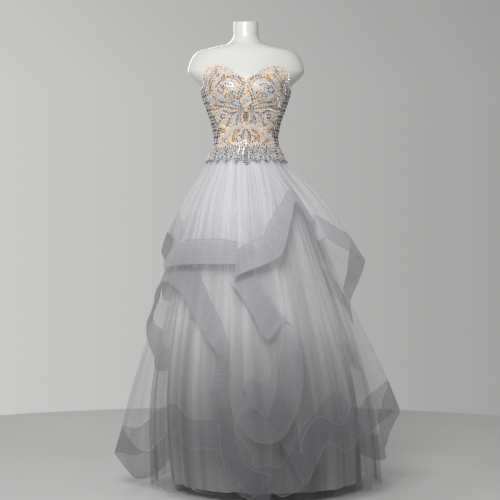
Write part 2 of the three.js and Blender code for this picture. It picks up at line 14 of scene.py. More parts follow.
import bmesh
import bpy
import numpy as np
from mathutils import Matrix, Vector


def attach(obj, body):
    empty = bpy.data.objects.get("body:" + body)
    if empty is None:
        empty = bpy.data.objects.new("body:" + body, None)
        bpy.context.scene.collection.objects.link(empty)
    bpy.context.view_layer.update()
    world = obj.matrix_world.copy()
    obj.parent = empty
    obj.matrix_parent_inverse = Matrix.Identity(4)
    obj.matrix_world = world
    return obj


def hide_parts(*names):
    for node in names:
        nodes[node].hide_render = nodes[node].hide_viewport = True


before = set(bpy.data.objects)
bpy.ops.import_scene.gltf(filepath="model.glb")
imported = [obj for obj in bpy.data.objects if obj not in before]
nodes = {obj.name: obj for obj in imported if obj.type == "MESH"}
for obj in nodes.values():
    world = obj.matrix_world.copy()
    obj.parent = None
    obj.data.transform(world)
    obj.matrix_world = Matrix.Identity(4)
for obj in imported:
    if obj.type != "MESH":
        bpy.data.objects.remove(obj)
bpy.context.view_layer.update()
MM = 0.001

# %% [markdown]
# The camera stands 4.5 m in front of the stand's axis at half the gown's height and looks level, so
# that the hem and the shoulders of a full-length dress both stay straight.

# %% Camera
def placed(name, data):
    """A new object at the origin, in the scene."""
    made = bpy.data.objects.new(name, data)
    bpy.context.scene.collection.objects.link(made)
    return made


CAMERA_PLACE = (0.0136, -4.5, 0.806)  # metres
LENS_MM, SENSOR_MM = 95.3, 36
camera_data = bpy.data.cameras.new("camera")
camera_data.sensor_width, camera_data.lens = SENSOR_MM, LENS_MM
camera = placed("camera", camera_data)
camera.location, camera.rotation_euler = CAMERA_PLACE, (math.radians(90), 0, 0)
bpy.context.scene.camera = camera

# %% [markdown]
# Four helpers serve every material and every Geometry Nodes tree below. A colour is written as the
# hex value that one would see on a screen, and is turned to linear light here. A node is added with
# its settings and its links in one call, so that a tree reads from its first node to its last. A
# new material hands out its own adder of nodes, and a function that connects its shader.


# %% Colour and node helpers
def linear(hex_colour):
    """An sRGB colour such as 'd9dae2' as linear RGBA."""
    parts = [int(hex_colour[k : k + 2], 16) / 255 for k in (0, 2, 4)]
    return [p / 12.92 if p <= 0.04045 else ((p + 0.055) / 1.055) ** 2.4 for p in parts] + [1.0]


def connect(node, sockets):
    """Fills inputs with a number, a colour, an output, or a node, whose first output in use is taken."""
    for key, value in sockets.items():
        named = [s for s in node.inputs if s.name == key and s.enabled]
        target = named[0] if named else node.inputs[key]
        if isinstance(value, bpy.types.Node):
            value = next(s for s in value.outputs if s.enabled)
        if isinstance(value, bpy.types.NodeSocket):
            node.id_data.links.new(value, target)
        else:
            target.default_value = value


def add_node(tree, kind, sockets=None, **settings):
    """One node with its settings and its links."""
    made = tree.nodes.new(kind)
    for name, value in settings.items():
        setattr(made, name, value)
    connect(made, sockets or {})
    return made


def new_material(name, **constants):
    """A material, its adder and its finish; constants are values of the shader's own sockets."""
    material = bpy.data.materials.new(name)
    material.use_nodes = True
    shader = material.node_tree.nodes["Principled BSDF"]
    connect(shader, {key.replace("_", " "): value for key, value in constants.items()})
    return material, partial(add_node, material.node_tree), partial(connect, shader)


# %% [markdown]
# ## The figure and the bell
# Everything is drawn from two shapes: the figure, which the bodice and the dress form share, and the
# bell, which all the skirt layers keep their distance from. Each is a table of half width and depths
# at a few heights. Between the heights runs a curve that never overshoots its points.


# %% Curves through given points
def through(table):
    """A smooth function through rows [x, a, b, ...], without overshoot, for numbers or arrays."""
    rows = np.array(sorted(table), float)
    x, y = rows[:, 0], rows[:, 1:]
    steps = np.diff(x)[:, None]
    secants = np.diff(y, axis=0) / steps
    slopes = np.zeros_like(y)
    same = secants[1:] * secants[:-1] > 0
    with np.errstate(divide="ignore", invalid="ignore"):
        harmonic = 2 / (1 / secants[1:] + 1 / secants[:-1])
    slopes[1:-1] = np.where(same, harmonic, 0)
    slopes[0], slopes[-1] = secants[0], secants[-1]

    def value(at):
        at = np.clip(np.asarray(at, float), x[0], x[-1])
        k = np.clip(np.searchsorted(x, at) - 1, 0, len(x) - 2)
        h = x[k + 1] - x[k]
        t = ((at - x[k]) / h)[..., None]
        h = h[..., None]
        a = (1 + 2 * t) * (1 - t) ** 2 * y[k] + t * (1 - t) ** 2 * h * slopes[k]
        b = t * t * (3 - 2 * t) * y[k + 1] + t * t * (t - 1) * h * slopes[k + 1]
        return np.moveaxis(a + b, -1, 0)

    return value


WAIST_Z = 1122.0  # the dropped waist seam
# z, half width, depth to the front, depth to the back, in millimetres
FIGURE = through([
    [1588, 47, 46, 46], [1540, 47, 48, 48], [1516, 58, 54, 56], [1502, 80, 60, 66],
    [1495, 114, 65, 74], [1488, 141, 70, 82], [1480, 168, 75, 88], [1464, 185, 82, 96],
    [1440, 197, 92, 104], [1412, 203, 104, 108], [1385, 184, 114, 108], [1360, 158, 120, 106],
    [1335, 149, 121, 103], [1310, 142, 117, 97], [1270, 127, 104, 88], [1225, 113, 90, 82],
    [1180, 106, 84, 80], [1150, 115, 90, 94], [WAIST_Z, 124, 94, 103],
])
BELL = through([
    [WAIST_Z, 115, 85, 94], [1060, 142, 112, 122], [980, 184, 152, 163], [740, 268, 243, 263],
    [560, 328, 303, 326], [420, 366, 341, 369], [300, 391, 365, 398], [150, 406, 380, 420],
    [0, 413, 387, 431],
])
BELL_SWAY = 70.0  # the skirt is spread to the right by this much at the floor
HEM_ROUND = 2 * math.pi * 410  # mm of cloth in each layer, round its hem
CUP = {"angle": 30.0, "z": 1338.0, "spread": 21.0, "height": 48.0, "rise": 15.0}


# %% Points of the figure and of the bell
def from_front(angle):
    return abs((angle + 180) % 360 - 180)


def oval(table, angle, z, outset=0.0):
    """x and y on a table's ring. Angles run round it in degrees: 0 is the front, 90 the side at +X."""
    width, front, back = table(z)
    a = np.radians(angle)
    return (width + outset) * np.sin(a), -(np.where(np.cos(a) > 0, front, back) + outset) * np.cos(a)


def figure_point(angle, z, outset, rise=CUP["rise"]):
    """A point at a distance from the figure, on or off the rise of a cup."""
    x, y = oval(FIGURE, angle, z)
    across = (from_front(angle) - CUP["angle"]) / CUP["spread"]
    cup = rise * np.exp(-(across**2) - ((z - CUP["z"]) / CUP["height"]) ** 2)
    k = 1 + (outset + cup) / np.hypot(x, y)
    return np.stack(np.broadcast_arrays(x * k, y * k, z), -1)


def bell_point(angle, z, outset):
    """A point at a distance from the bell, which leans to the right towards the floor."""
    x, y = oval(BELL, angle, z, outset)
    return np.stack(np.broadcast_arrays(BELL_SWAY * (1 - z / WAIST_Z) + x, y, z), -1)


# %% [markdown]
# A sheet of cloth is a grid of points with three things kept at each: where that point lay on the
# flat cloth (its UV, in metres, so that threads can be drawn at their real size), how much net covers
# it (the attribute 'cover'), and how tightly the net is gathered at its height ('gathering').


# %% Meshes from grids
def add_mesh(name, points, faces, material, smooth=True):
    """Points are in millimetres; the finished object sits at the origin with its place in its mesh."""
    mesh = bpy.data.meshes.new(name)
    mesh.from_pydata((np.asarray(points, float) * MM).tolist(), [], faces)
    mesh.polygons.foreach_set("use_smooth", [smooth] * len(mesh.polygons))
    mesh.materials.append(material)
    return placed(name, mesh)


def grid_sheet(name, grid, closed, material, flat=None, cover=None):
    """A sheet from grid[column, row]; columns run from left to right, rows run downwards."""
    grid = np.asarray(grid, float)
    columns, rows = grid.shape[:2]
    spans = columns if closed else columns - 1
    i, j = np.meshgrid(np.arange(spans), np.arange(rows - 1), indexing="ij")
    i, j = i.ravel(), j.ravel()
    right = (i + 1) % columns
    at = lambda a, b: a * rows + b
    faces = np.stack([at(i, j), at(i, j + 1), at(right, j + 1), at(right, j)], -1)
    made = add_mesh(name, grid.reshape(-1, 3), faces.tolist(), material)
    if flat is not None:
        uv = made.data.uv_layers.new(name="cloth")
        corners = np.stack([flat[i, j], flat[i, j + 1], flat[i + 1, j + 1], flat[i + 1, j]], 1)
        uv.data.foreach_set("uv", (corners * MM).ravel())
    if cover is not None:
        for label, values in (("cover", cover), ("gathering", gathering_at(grid[..., 2]))):
            layer = made.data.attributes.new(label, "FLOAT", "POINT")
            layer.data.foreach_set("value", np.asarray(values, float).ravel())
    return made


def gathering_at(z):
    """How tightly the net is gathered at a height: its width at the hem against the bell's girth."""
    width, front, back = BELL(z)
    return np.clip(HEM_ROUND / (math.pi * (width + (front + back) / 2)), 1, 4)


def cloth_area(made):
    """Area of a mesh in square metres."""
    return sum(face.area for face in made.data.polygons)


# %% [markdown]
# ## Net, braid and satin
# Tulle is a net of fine polyester threads with air between them. It covers little when it hangs flat
# and a lot where it is gathered, because the same threads then share less width: the light that gets
# through falls as a power of how tightly it is gathered. That is what the 'cover' attribute holds,
# and the shader raises the open part of the net to that power. Long faint streaks follow the threads.
# Tightly gathered net is also the palest, partly because so many threads catch the light; the darker
# tone towards the hem is painted shade, where less light falls near the floor.


# %% Sheer net and horsehair braid
def net_material(name, tones, cover, streak_mm, streaks, ribs_mm=0.0, **constants):
    """tones: at the hem (painted shade), where gathering starts, and gathered; cover: how much of flat net is
    thread.
    """
    material, add, finish = new_material(name, **constants)
    uv = add("ShaderNodeUVMap", uv_map="cloth")
    # Streaks run down the cloth: narrow across the threads and hundreds of times as long.
    fine_way = add("ShaderNodeMapping", {"Vector": uv, "Scale": (1 / (streak_mm * MM), 1.3, 1)})
    fine = add("ShaderNodeTexNoise", {"Vector": fine_way, "Scale": 1.0, "Detail": 3.0, "Roughness": 0.65})
    broad_way = add("ShaderNodeMapping", {"Vector": uv, "Scale": (1 / (7 * streak_mm * MM), 1.0, 1)})
    broad = add("ShaderNodeTexNoise", {"Vector": broad_way, "Scale": 1.0, "Detail": 2.0})
    both = add("ShaderNodeMath", {0: fine, 1: broad}, operation="ADD")
    spread = {"From Min": 0.75, "From Max": 1.25, "To Min": 1 - streaks, "To Max": 1 + streaks}
    uneven = [add("ShaderNodeMapRange", {"Value": both, **spread})]
    if ribs_mm:  # a wave's bands are a twentieth of a turn wide at scale 1
        wave = {"Vector": uv, "Scale": math.pi / (20 * ribs_mm * MM), "Distortion": 0.4, "Detail": 1.0}
        rib = add("ShaderNodeTexWave", wave, bands_direction="Y").outputs["Fac"]
        uneven.append(add("ShaderNodeMapRange", {"Value": rib, "To Min": 0.94, "To Max": 1.06}))
    layers = add("ShaderNodeAttribute", attribute_name="cover").outputs["Fac"]
    for share in uneven:
        layers = add("ShaderNodeMath", {0: layers, 1: share}, operation="MULTIPLY")
    open_part = add("ShaderNodeMath", {0: 1 - cover, 1: layers}, operation="POWER")
    alpha = add("ShaderNodeMath", {0: 1.0, 1: open_part}, operation="SUBTRACT")
    gathering = add("ShaderNodeAttribute", attribute_name="gathering").outputs["Fac"]
    # Painted shade: the tone runs from a dark hem tone up to a pale gathered tone, partly from real thread
    # density.
    gathering_and_painted_shade = add("ShaderNodeMapRange", {"Value": gathering, "From Min": 1.0, "From Max": 3.0})
    tone = add("ShaderNodeValToRGB", {"Fac": gathering_and_painted_shade})
    tone.color_ramp.elements.new(0.5)
    for stop, place, shade in zip(tone.color_ramp.elements, (0.0, 0.14, 0.6), tones):
        stop.position, stop.color = place, linear(shade)
    finish({"Base Color": tone, "Alpha": alpha})
    return material


# Each net's first tone, at the hem, is painted shade; its paler gathered tones are partly real thread
# density.
TULLE = net_material(
    "polyester_tulle", ("848487", "cfcfd1", "e8e8ec"), cover=0.16, streak_mm=9.0, streaks=0.6,
    Roughness=0.75, Sheen_Weight=0.2,
)
STIFF_TULLE = net_material(
    "stiff_petticoat_net", ("6c6c6e", "c8c8ca", "dededf"), cover=0.22, streak_mm=11.0, streaks=0.6,
    Roughness=0.8, Sheen_Weight=0.1,
)
HORSEHAIR = net_material(
    "horsehair_braid", ("5e5e64", "9c9ca2", "bcbcc3"), cover=0.43, streak_mm=14.0, streaks=0.18,
    ribs_mm=8.0, Roughness=0.5, Sheen_Weight=0.2,
)


# %% Satin lining and sewing thread
def satin_material():
    """Polyester satin, white: a soft gloss along the cloth, darkened by painted shade in broad patches and
    near the floor.
    """
    material, add, finish = new_material("satin_lining", Roughness=0.6, Sheen_Weight=0.2, Anisotropic=0.3)
    uv = add("ShaderNodeUVMap", uv_map="cloth")
    long_way = add("ShaderNodeMapping", {"Vector": uv, "Scale": (40, 2.5, 1)})
    waves = add("ShaderNodeTexNoise", {"Vector": long_way, "Scale": 1.0, "Detail": 3.0})
    gathering = add("ShaderNodeAttribute", attribute_name="gathering").outputs["Fac"]
    # Painted shade: the satin is darkened where gathering is least, near the floor, and in broad random
    # patches.
    painted_floor_shade = add("ShaderNodeMapRange", {"Value": gathering, "From Min": 1.0, "From Max": 1.34, "To Min": 0.3})
    broad_way = add("ShaderNodeMapping", {"Vector": uv, "Scale": (11, 0.5, 1)})
    broad = add("ShaderNodeTexNoise", {"Vector": broad_way, "Scale": 1.0, "Detail": 1.0})
    painted_shade_patches = add("ShaderNodeMapRange", {"Value": broad, "From Min": 0.38, "From Max": 0.6, "To Min": 0.4})
    painted_light = add("ShaderNodeMath", {0: painted_floor_shade, 1: painted_shade_patches}, operation="MULTIPLY")
    # 4c4c4f is the painted shade; fafafb is the satin's own white.
    tone = add("ShaderNodeMix", {"Factor": painted_light, 6: linear("4c4c4f"), 7: linear("fafafb")}, data_type="RGBA")
    bump = add("ShaderNodeBump", {"Height": waves, "Strength": 0.15, "Distance": 0.004})
    finish({"Base Color": tone, "Normal": bump})
    return material


def thread_material(name, colour):
    """Twisted polyester: the twist shows as short darker marks."""
    material, add, finish = new_material(name, Roughness=0.5, Sheen_Weight=0.4)
    position = add("ShaderNodeTexCoord").outputs["Object"]
    twist = add("ShaderNodeTexNoise", {"Vector": position, "Scale": 260.0, "Detail": 2.0})
    tone = add("ShaderNodeValToRGB", {"Fac": twist})
    first, last = tone.color_ramp.elements
    first.color, last.color = [c * 0.7 for c in linear(colour)[:3]] + [1], linear(colour)
    first.position, last.position = 0.35, 0.65
    finish({"Base Color": tone})
    return material


SATIN = satin_material()
HEM_THREAD = thread_material("polyester_hem_thread", "8e8e93")

# %% [markdown]
# ## How the net falls
# Gathers start as dozens of small folds in the seam and run together into fewer, broader ones on
# their way down. All layers share the broad folds, so that they nest instead of cutting through each
# other, and each has a few small ones of its own. Where a fold's side turns away, more thread lies in
# the same width, which the cover attribute adds to the gathering.

# %% Folds and cover
SHARED_FOLDS = [  # folds round the body, height in mm at the floor, phase, wander
    (13, 5.0, 0.6, 1.1),
    (22, 4.0, 2.1, 1.6),
    (37, 1.8, 4.4, 2.3),
]
GATHERS = [(71, 0.8, 1.0, 4.0), (118, 0.45, 3.7, 6.0)]  # these fade towards the hem


def relief(angle, z, own=0.0):
    """Height of the folds above the bell, in mm, at a place on the cloth."""
    drop = 1 - np.asarray(z) / WAIST_Z
    a = np.radians(angle)
    height = 0
    for count, tall, phase, wander in SHARED_FOLDS:
        height = height + tall * drop**0.8 * np.cos(count * a + phase + wander * np.sin(2 * a + phase))
    for count, tall, phase, wander in GATHERS:
        fade = np.exp(-drop * 2.6) * np.minimum(1, drop * 14 + 0.25)
        swell = 0.55 + 0.45 * np.cos(5 * a + phase + 2 * np.sin(3 * a))
        height = height + tall * fade * swell * np.cos(count * a + phase + own + wander * np.sin(2 * a))
    own_folds = np.cos(53 * a + own + 1.7 * np.sin(3 * a + own)) + 0.6 * np.cos(79 * a + 2 * own)
    return height + 1.3 * drop**0.6 * own_folds * (own > 0)


def cover_of(angle, z, own=0.0):
    """How many thicknesses of flat net lie in a piece that was gathered and folded."""
    width = BELL(z)[0]
    step = 0.25
    rise = (relief(angle + step, z, own) - relief(angle - step, z, own)) / (2 * math.radians(step) * width)
    steep = np.sqrt(1 + (2.0 * rise) ** 2)
    return gathering_at(z) * steep


# %% [markdown]
# ## Lining and petticoat
# A white satin lining falls in a narrower bell inside the others and glows through the net above it.
# Over it goes a petticoat of stiffer net, whose raw edge is slightly uneven.


# %% Round layers
def round_layer(name, hem, outset, pleats, depth, ragged, own, material, columns, rows=46):
    """A layer of even length; outset(drop) is its distance from the bell."""
    angle = np.arange(columns) * 360 / columns
    uneven = ragged * (np.sin(angle * 0.61) + np.sin(angle * 1.37 + 2) + 0.7 * np.sin(angle * 2.9))
    grid, flat, cover = [], [], []
    for k, a in enumerate(angle):
        z = WAIST_Z + (hem + uneven[k] - WAIST_Z) * np.linspace(0, 1, rows)
        drop = 1 - z / WAIST_Z
        pleat = depth * drop * np.cos(math.radians(a * pleats))
        grid.append(bell_point(a, z, outset(drop) + pleat + relief(a, z, own)))
        cover.append(cover_of(a, z, own))
        down = np.concatenate([[0], np.cumsum(np.linalg.norm(np.diff(grid[-1], axis=0), axis=1))])
        flat.append(np.stack([np.full(rows, a / 360 * HEM_ROUND), down], -1))
    flat.append(flat[0] + [HEM_ROUND, 0])
    made = grid_sheet(name, grid, True, material, np.array(flat), cover)
    print(name, round(cloth_area(made), 2), "m2")
    return made


lining = round_layer(
    "satin_skirt_lining", hem=30, outset=lambda drop: -4 - 95 * drop, pleats=10, depth=6, ragged=0.5,
    own=0.0, material=SATIN, columns=360,
)
underskirt = round_layer(
    "tulle_petticoat", hem=20, outset=lambda drop: -2 - 30 * drop, pleats=18, depth=6, ragged=1.6,
    own=5.0, material=STIFF_TULLE, columns=720, rows=50,
)

# %% [markdown]
# ## The cascading layers
# Each cascade is a sheet with a given hem: a list of places on the hem, and for each the place
# on the waist seam that the net hangs from. Where a hem's angle runs backwards the cloth turns back
# under itself, and the band shows its other face, as in the loop at the front. The band is the last
# stretch of the sheet, square to the hem, and is faced or edge-on depending on how the hem twists.


# %% Rows of a hem
def row(gather, angle, z, out, **options):
    """Gathering angle, the hem's angle, its height and its outset from the bell."""
    settings = {"face": 1.0, "square": 0.8, "reversed": False, "tuck": 0.0, "inner": None, "flare": None}
    return {"place": (gather, angle, z, out), **settings, **options}


SOFT = {"square": 0.4}  # the band stands less square to the hem
UNDER = {"tuck": 3.0, "reversed": True}  # the cloth has turned back under itself


def flutes(start, end, count, heights, outsets):
    """Even flutes round the back, where the hem swings between two heights and two outsets."""
    angles = np.linspace(start, end, count)
    return [row(a, a, heights[k % 2], outsets[k % 2], **SOFT) for k, a in enumerate(angles)]


LAYERS = {
    "top_layer": {
        "closed": True, "band": 80, "rest": (11, 24), "flare": 1.15, "own": 1.0,
        "hem": [
            row(-109, -107, 755, 55), row(-99, -96, 805, 64), row(-90, -90, 865, 58),
            row(-74, -67, 838, 46, inner=(-61, 890)), row(-57, -69, 755, 56, inner=(-56, 820)),
            row(-52, -50, 757, 52), row(-36, -34, 760, 50), row(-22, -19, 760, 50),
            row(-14, -7, 757, 50, face=0.9), row(-10, -11, 720, 70, **SOFT), row(-4, -2, 742, 70, **SOFT),
            row(6, 9, 765, 70, square=0.6), row(14, 18, 795, 65), row(22, 24, 850, 58, face=0.85),
            row(29, 32, 915, 52, face=0.6), row(36, 41, 965, 46, face=0.45, square=0.5),
            row(42, 45, 900, 55, face=0.35), row(47, 45, 838, 66, face=0.9, square=0.6),
            row(52, 51, 845, 84), row(60, 58, 822, 96, flare=0.9), row(70, 74, 787, 114, flare=0.7),
            row(82, 90, 765, 122, flare=0.6), row(92, 99, 695, 80, face=0.8, flare=0.6),
            row(102, 105, 620, 32, face=0.6, flare=0.8),
            row(113, 112, 545, 30, face=0.7), *flutes(126, 238, 7, (625, 705), (66, 40)),
        ],
    },
    "centre_cascade": {
        "closed": False, "band": 80, "rest": (4, 14), "flare": 2.2, "own": 2.0,
        "hem": [
            row(-14, -14, 700, 40, tuck=5), row(-6, -8, 665, 50, tuck=5), row(3, -2, 605, 60, tuck=5),
            row(12, 4, 527, 70, tuck=5, inner=(12, 600)), row(17, 13, 580, 68, tuck=5, inner=(14, 597)),
            row(17.5, 18, 545, 66, **UNDER, inner=(13, 560)), row(15, 19, 470, 66, **UNDER, face=0.8),
            row(12, 17, 380, 68, **UNDER), row(8, 13, 300, 70, **UNDER), row(4, 7, 230, 70, **UNDER),
            row(0, 0, 214, 70, **UNDER), row(-4, -6, 238, 68, **UNDER, square=0.6),
            row(-6, -9.5, 290, 64, **UNDER, face=0.6, square=0.6), row(-6, -6, 335, 54, inner=(-7, 395)),
            row(0, 1, 280, 46, square=0.2), row(8, 9, 180, 50, square=0.3),
            row(14, 14.5, 85, 56, square=0.0), row(20, 19, 130, 55, square=0.2), row(27, 26, 205, 50, **SOFT),
            row(36, 35, 175, 50, **SOFT), row(44, 44, 230, 54, **SOFT),
        ],
    },
    "left_cascade": {
        "closed": False, "band": 85, "rest": (2, 6), "flare": 2.2, "own": 3.0,
        "hem": [
            *flutes(-238, -126, 7, (370, 430), (52, 26)), row(-112, -109, 430, 22, **SOFT),
            row(-106, -100, 505, 42, face=0.7), row(-100, -96, 560, 48, face=0.6),
            row(-92, -96, 610, 42, face=0.6), row(-76, -80, 685, 38), row(-64, -62, 700, 36, square=0.6),
            row(-52, -45, 655, 32), row(-36, -31, 565, 35, face=0.9), row(-24, -23, 510, 40, face=0.7),
            row(-18, -19, 470, 46, face=0.4), row(-15.5, -21, 405, 42, face=0.6),
            row(-13.5, -22, 345, 40, face=0.75), row(-11.5, -18.5, 280, 40, face=0.6),
            row(-9, -18, 200, 42, face=0.65), row(-5, -16, 115, 44, face=0.8, square=0.7),
            row(1, -10, 50, 46, square=0.5), row(9, 1, 24, 46, **SOFT),
        ],
    },
    "low_layer": {
        "closed": True, "band": 90, "rest": (0, 0), "flare": 2.2, "own": 4.0,
        "hem": [
            *flutes(-234, -136, 6, (60, 115), (44, 6)), row(-121, -121, 30, 14, **SOFT),
            row(-110, -109, 12, 16, **SOFT), row(-98, -97, 26, 48, **SOFT), row(-90, -90, 118, 102),
            row(-77, -75, 125, 32, **SOFT), row(-61, -59, 172, 16, **SOFT), row(-47, -46, 225, 4, **SOFT),
            row(-36, -34, 182, 24, **SOFT), row(-22, -22, 184, 18, square=0.6),
            row(-13, -13, 100, 14, square=0.6), row(-4, -5, 42, 18, square=0.2),
            row(0, 0, 75, 6, face=0.7, square=0.0), row(5, 6, 42, 17, square=0.2),
            row(15, 15, 75, 12, **SOFT), row(27, 26, 185, 15, square=0.6), row(38, 39, 262, 0, **SOFT),
            row(46, 46, 212, 32, **SOFT), row(57, 58, 250, 54, **SOFT), row(70, 76, 278, 76, **SOFT),
            row(82, 88, 205, 36, **SOFT), row(95, 99, 130, 18, **SOFT), row(111, 111, 70, 42, **SOFT),
        ],
    },
}


# %% From a hem to a sheet
def between(a, b, c, d, u):
    """A Catmull-Rom curve from b to c, with its neighbours a and d."""
    return b + 0.5 * u * (c - a + u * (2 * a - 5 * b + 4 * c - d + u * (3 * (b - c) + d - a)))


def inner_edge(layer, k):
    """Angle and height of the band's inner edge beside row k: square to the hem, on the waist's side."""
    hem = layer["hem"]
    n = len(hem)
    beside = lambda j: (hem[j % n] if layer["closed"] else hem[min(max(j, 0), n - 1)])["place"]
    here = hem[k]
    if here["inner"]:
        return here["inner"]
    _, angle, z, out = here["place"]
    before, after = beside(k - 1), beside(k + 1)
    reach = BELL(z)[0] + out
    turn = (after[1] - before[1] + 540) % 360 - 180
    tangent = Vector((math.radians(turn) * reach, after[2] - before[2])).normalized()
    side = -1 if here["reversed"] else 1
    square = here["square"]
    step = Vector((-tangent.y * side * square, tangent.x * side * square + 1 - square)).normalized()
    breadth = abs(step.x * tangent.y - step.y * tangent.x)
    step *= layer["band"] * here["face"] / max(breadth, 0.7)
    return angle + math.degrees(step.x / reach), min(z + step.y, WAIST_Z - 50)


def hem_curve(layer):
    """The hem's rows with their inner edges, as a smooth function of the row number."""
    rows = []
    for k, here in enumerate(layer["hem"]):
        gather, angle, z, out = here["place"]
        inner_angle, inner_z = inner_edge(layer, k)
        flare = here["flare"] or layer["flare"]
        rows.append([gather, angle, inner_angle, z, inner_z, out, here["tuck"], flare])
    rows = np.array(rows, float)
    n = len(rows)

    def row_at(k):
        if not layer["closed"]:
            return rows[min(max(k, 0), n - 1)]
        turns = k // n
        return rows[k - turns * n] + np.array([360, 360, 360, 0, 0, 0, 0, 0]) * turns

    def value(t):
        i = math.floor(t)
        return between(*(row_at(i + k) for k in (-1, 0, 1, 2)), t - i)

    return value, n


GATHER_END_Z = 1092.0  # down to here the border holds the gathers flat
COLUMNS_PER_ROW = 12
CLOTH_ROWS = 44
BAND_ROWS = 7


def cascade(name):
    """A layer's net and its band, as two grids that share the line where they are sewn together."""
    layer = LAYERS[name]
    curve, n = hem_curve(layer)
    spans = (n if layer["closed"] else n - 1) * COLUMNS_PER_ROW
    start, slope = layer["rest"]
    resting = lambda z: start + slope * (1 - z / WAIST_Z)
    own = layer["own"]
    net, band, net_flat, band_flat, net_cover, band_cover = [], [], [], [], [], []
    along, last_hem = 0.0, None
    for i in range(spans + 1):
        gather, angle, inner_angle, z, inner_z, out, tuck, flare = curve(i / COLUMNS_PER_ROW)
        lowest = min(z, inner_z)
        height = WAIST_Z + (inner_z - WAIST_Z) * np.linspace(0, 1, CLOTH_ROWS)
        part = np.maximum(0, GATHER_END_Z - height) / (GATHER_END_Z - lowest)
        outset = resting(height) + tuck + (out - resting(z) - tuck) * part**flare
        lean = ((WAIST_Z - height) / (WAIST_Z - inner_z)) ** 1.4
        line_angle = gather + (inner_angle - gather) * lean
        calm = 1 - 0.6 * part**3  # the stiff band irons the folds out of the net's edge
        line = bell_point(line_angle, height, outset + relief(line_angle, height, own) * calm)
        hem_point = bell_point(angle, z, out + 0.4 * relief(angle, z, own))
        if last_hem is not None:
            along += np.linalg.norm(hem_point - last_hem)
        last_hem = hem_point
        across = np.linspace(0, 1, BAND_ROWS)
        strip = line[-1] + (hem_point - line[-1]) * across[:, None]
        fall = np.concatenate([[0], np.cumsum(np.linalg.norm(np.diff(line, axis=0), axis=1))])
        net.append(line)
        band.append(strip)
        net_flat.append(np.stack([np.full(CLOTH_ROWS, gather / 360 * HEM_ROUND), fall], -1))
        band_flat.append(np.stack([np.full(BAND_ROWS, along), across * layer["band"]], -1))
        net_cover.append(cover_of(line_angle, height, own))
        band_cover.append(np.full(BAND_ROWS, np.clip(cover_of(angle, z) ** 1.4, 1, 1.8)))
    keep = spans if layer["closed"] else spans + 1
    parts = (("net", TULLE, net, net_flat, net_cover), ("horsehair", HORSEHAIR, band, band_flat, band_cover))
    sheets = [
        grid_sheet(f"{name}_{what}", grid[:keep], layer["closed"], cloth, np.array(flat), cover[:keep])
        for what, cloth, grid, flat, cover in parts
    ]
    edges = [np.array([strip[k] for strip in band[:keep]]) for k in (0, -1)]
    print(name, [round(cloth_area(s), 3) for s in sheets], "m2; hem", round(along), "mm")
    return sheets, edges


nets, bands, band_edges = {}, {}, {}
for layer_name in LAYERS:
    (nets[layer_name], bands[layer_name]), band_edges[layer_name] = cascade(layer_name)

# %% [markdown]
# Both edges of a band are stitched with a rolled thread, which draws the fine lines that make each
# wave readable. A small Geometry Nodes tree sweeps a round thread along the edge lines, so one
# modifier serves every edge, and its thickness is an input.


# %% Threads along edges
def curve_object(name, lines, closed=False):
    """Polylines in millimetres, as one curve object for a Geometry Nodes tree to follow."""
    data = bpy.data.curves.new(name, "CURVE")
    data.dimensions = "3D"
    for line in lines:
        spline = data.splines.new("POLY")
        spline.points.add(len(line) - 1)
        points = np.c_[np.asarray(line, float) * MM, np.ones(len(line))]
        spline.points.foreach_set("co", points.ravel())
        spline.use_cyclic_u = closed
    return placed(name, data)


def node_tree(name, inputs):
    """An empty Geometry Nodes tree with named inputs: its adder, the inputs and a function that ends it."""
    tree = bpy.data.node_groups.new(name, "GeometryNodeTree")
    add = partial(add_node, tree)
    for way in ("INPUT", "OUTPUT"):
        tree.interface.new_socket("Geometry", in_out=way, socket_type="NodeSocketGeometry")
    for label, kind in inputs.items():
        tree.interface.new_socket(label, in_out="INPUT", socket_type="NodeSocket" + kind)
    given = add("NodeGroupInput").outputs

    def end(geometry):
        real = add("GeometryNodeRealizeInstances", {"Geometry": geometry})
        dressed = add("GeometryNodeSetMaterial", {"Geometry": real, "Material": given["Material"]})
        add("NodeGroupOutput", {"Geometry": dressed})
        return tree

    return add, given, end


def grown(source, tree, name, **values):
    """Runs a tree on a source object and keeps the result as a plain mesh; the source is removed."""
    modifier = source.modifiers.new("grow", "NODES")
    modifier.node_group = tree
    for item in tree.interface.items_tree:
        key = item.name.replace(" ", "_")
        if item.in_out == "INPUT" and key in values:
            modifier[item.identifier] = values[key]
    bpy.context.view_layer.update()
    evaluated = source.evaluated_get(bpy.context.evaluated_depsgraph_get())
    mesh = bpy.data.meshes.new_from_object(evaluated)
    mesh.name = name
    source.modifiers.remove(modifier)
    bpy.data.objects.remove(source)
    return placed(name, mesh)


def thread_tree():
    """Sweeps a round thread along the lines of its source."""
    inputs = {"Thickness": "Float", "Sides": "Int", "Material": "Material"}
    add, given, end = node_tree("rolled_thread", inputs)
    half = add("ShaderNodeMath", {0: given["Thickness"], 1: 0.5}, operation="MULTIPLY")
    ring = add("GeometryNodeCurvePrimitiveCircle", {"Resolution": given["Sides"], "Radius": half})
    sweep = {"Curve": given["Geometry"], "Profile Curve": ring, "Fill Caps": True}
    return end(add("GeometryNodeCurveToMesh", sweep))


THREAD_TREE = thread_tree()
HEM_THREAD_MM = 1.1
threads = {}
for layer_name, (inner_line, hem_line) in band_edges.items():
    lines = curve_object(f"{layer_name}_edges", [inner_line, hem_line], LAYERS[layer_name]["closed"])
    threads[layer_name] = grown(
        lines, THREAD_TREE, f"{layer_name}_thread", Thickness=HEM_THREAD_MM * MM, Sides=5, Material=HEM_THREAD
    )
print("threads:", sum(len(t.data.polygons) for t in threads.values()), "faces")

# %% [markdown]
# ## The dress form
# A limbless form is a glass-fibre shell, lacquered white: one smooth skin from the neck to the hips,
# with flat plates where the arms would be joined on. It is lofted from rings of the figure, set in by
# the thickness of the gown, and the two plates are cut with planes. The neck is cut on a slant.

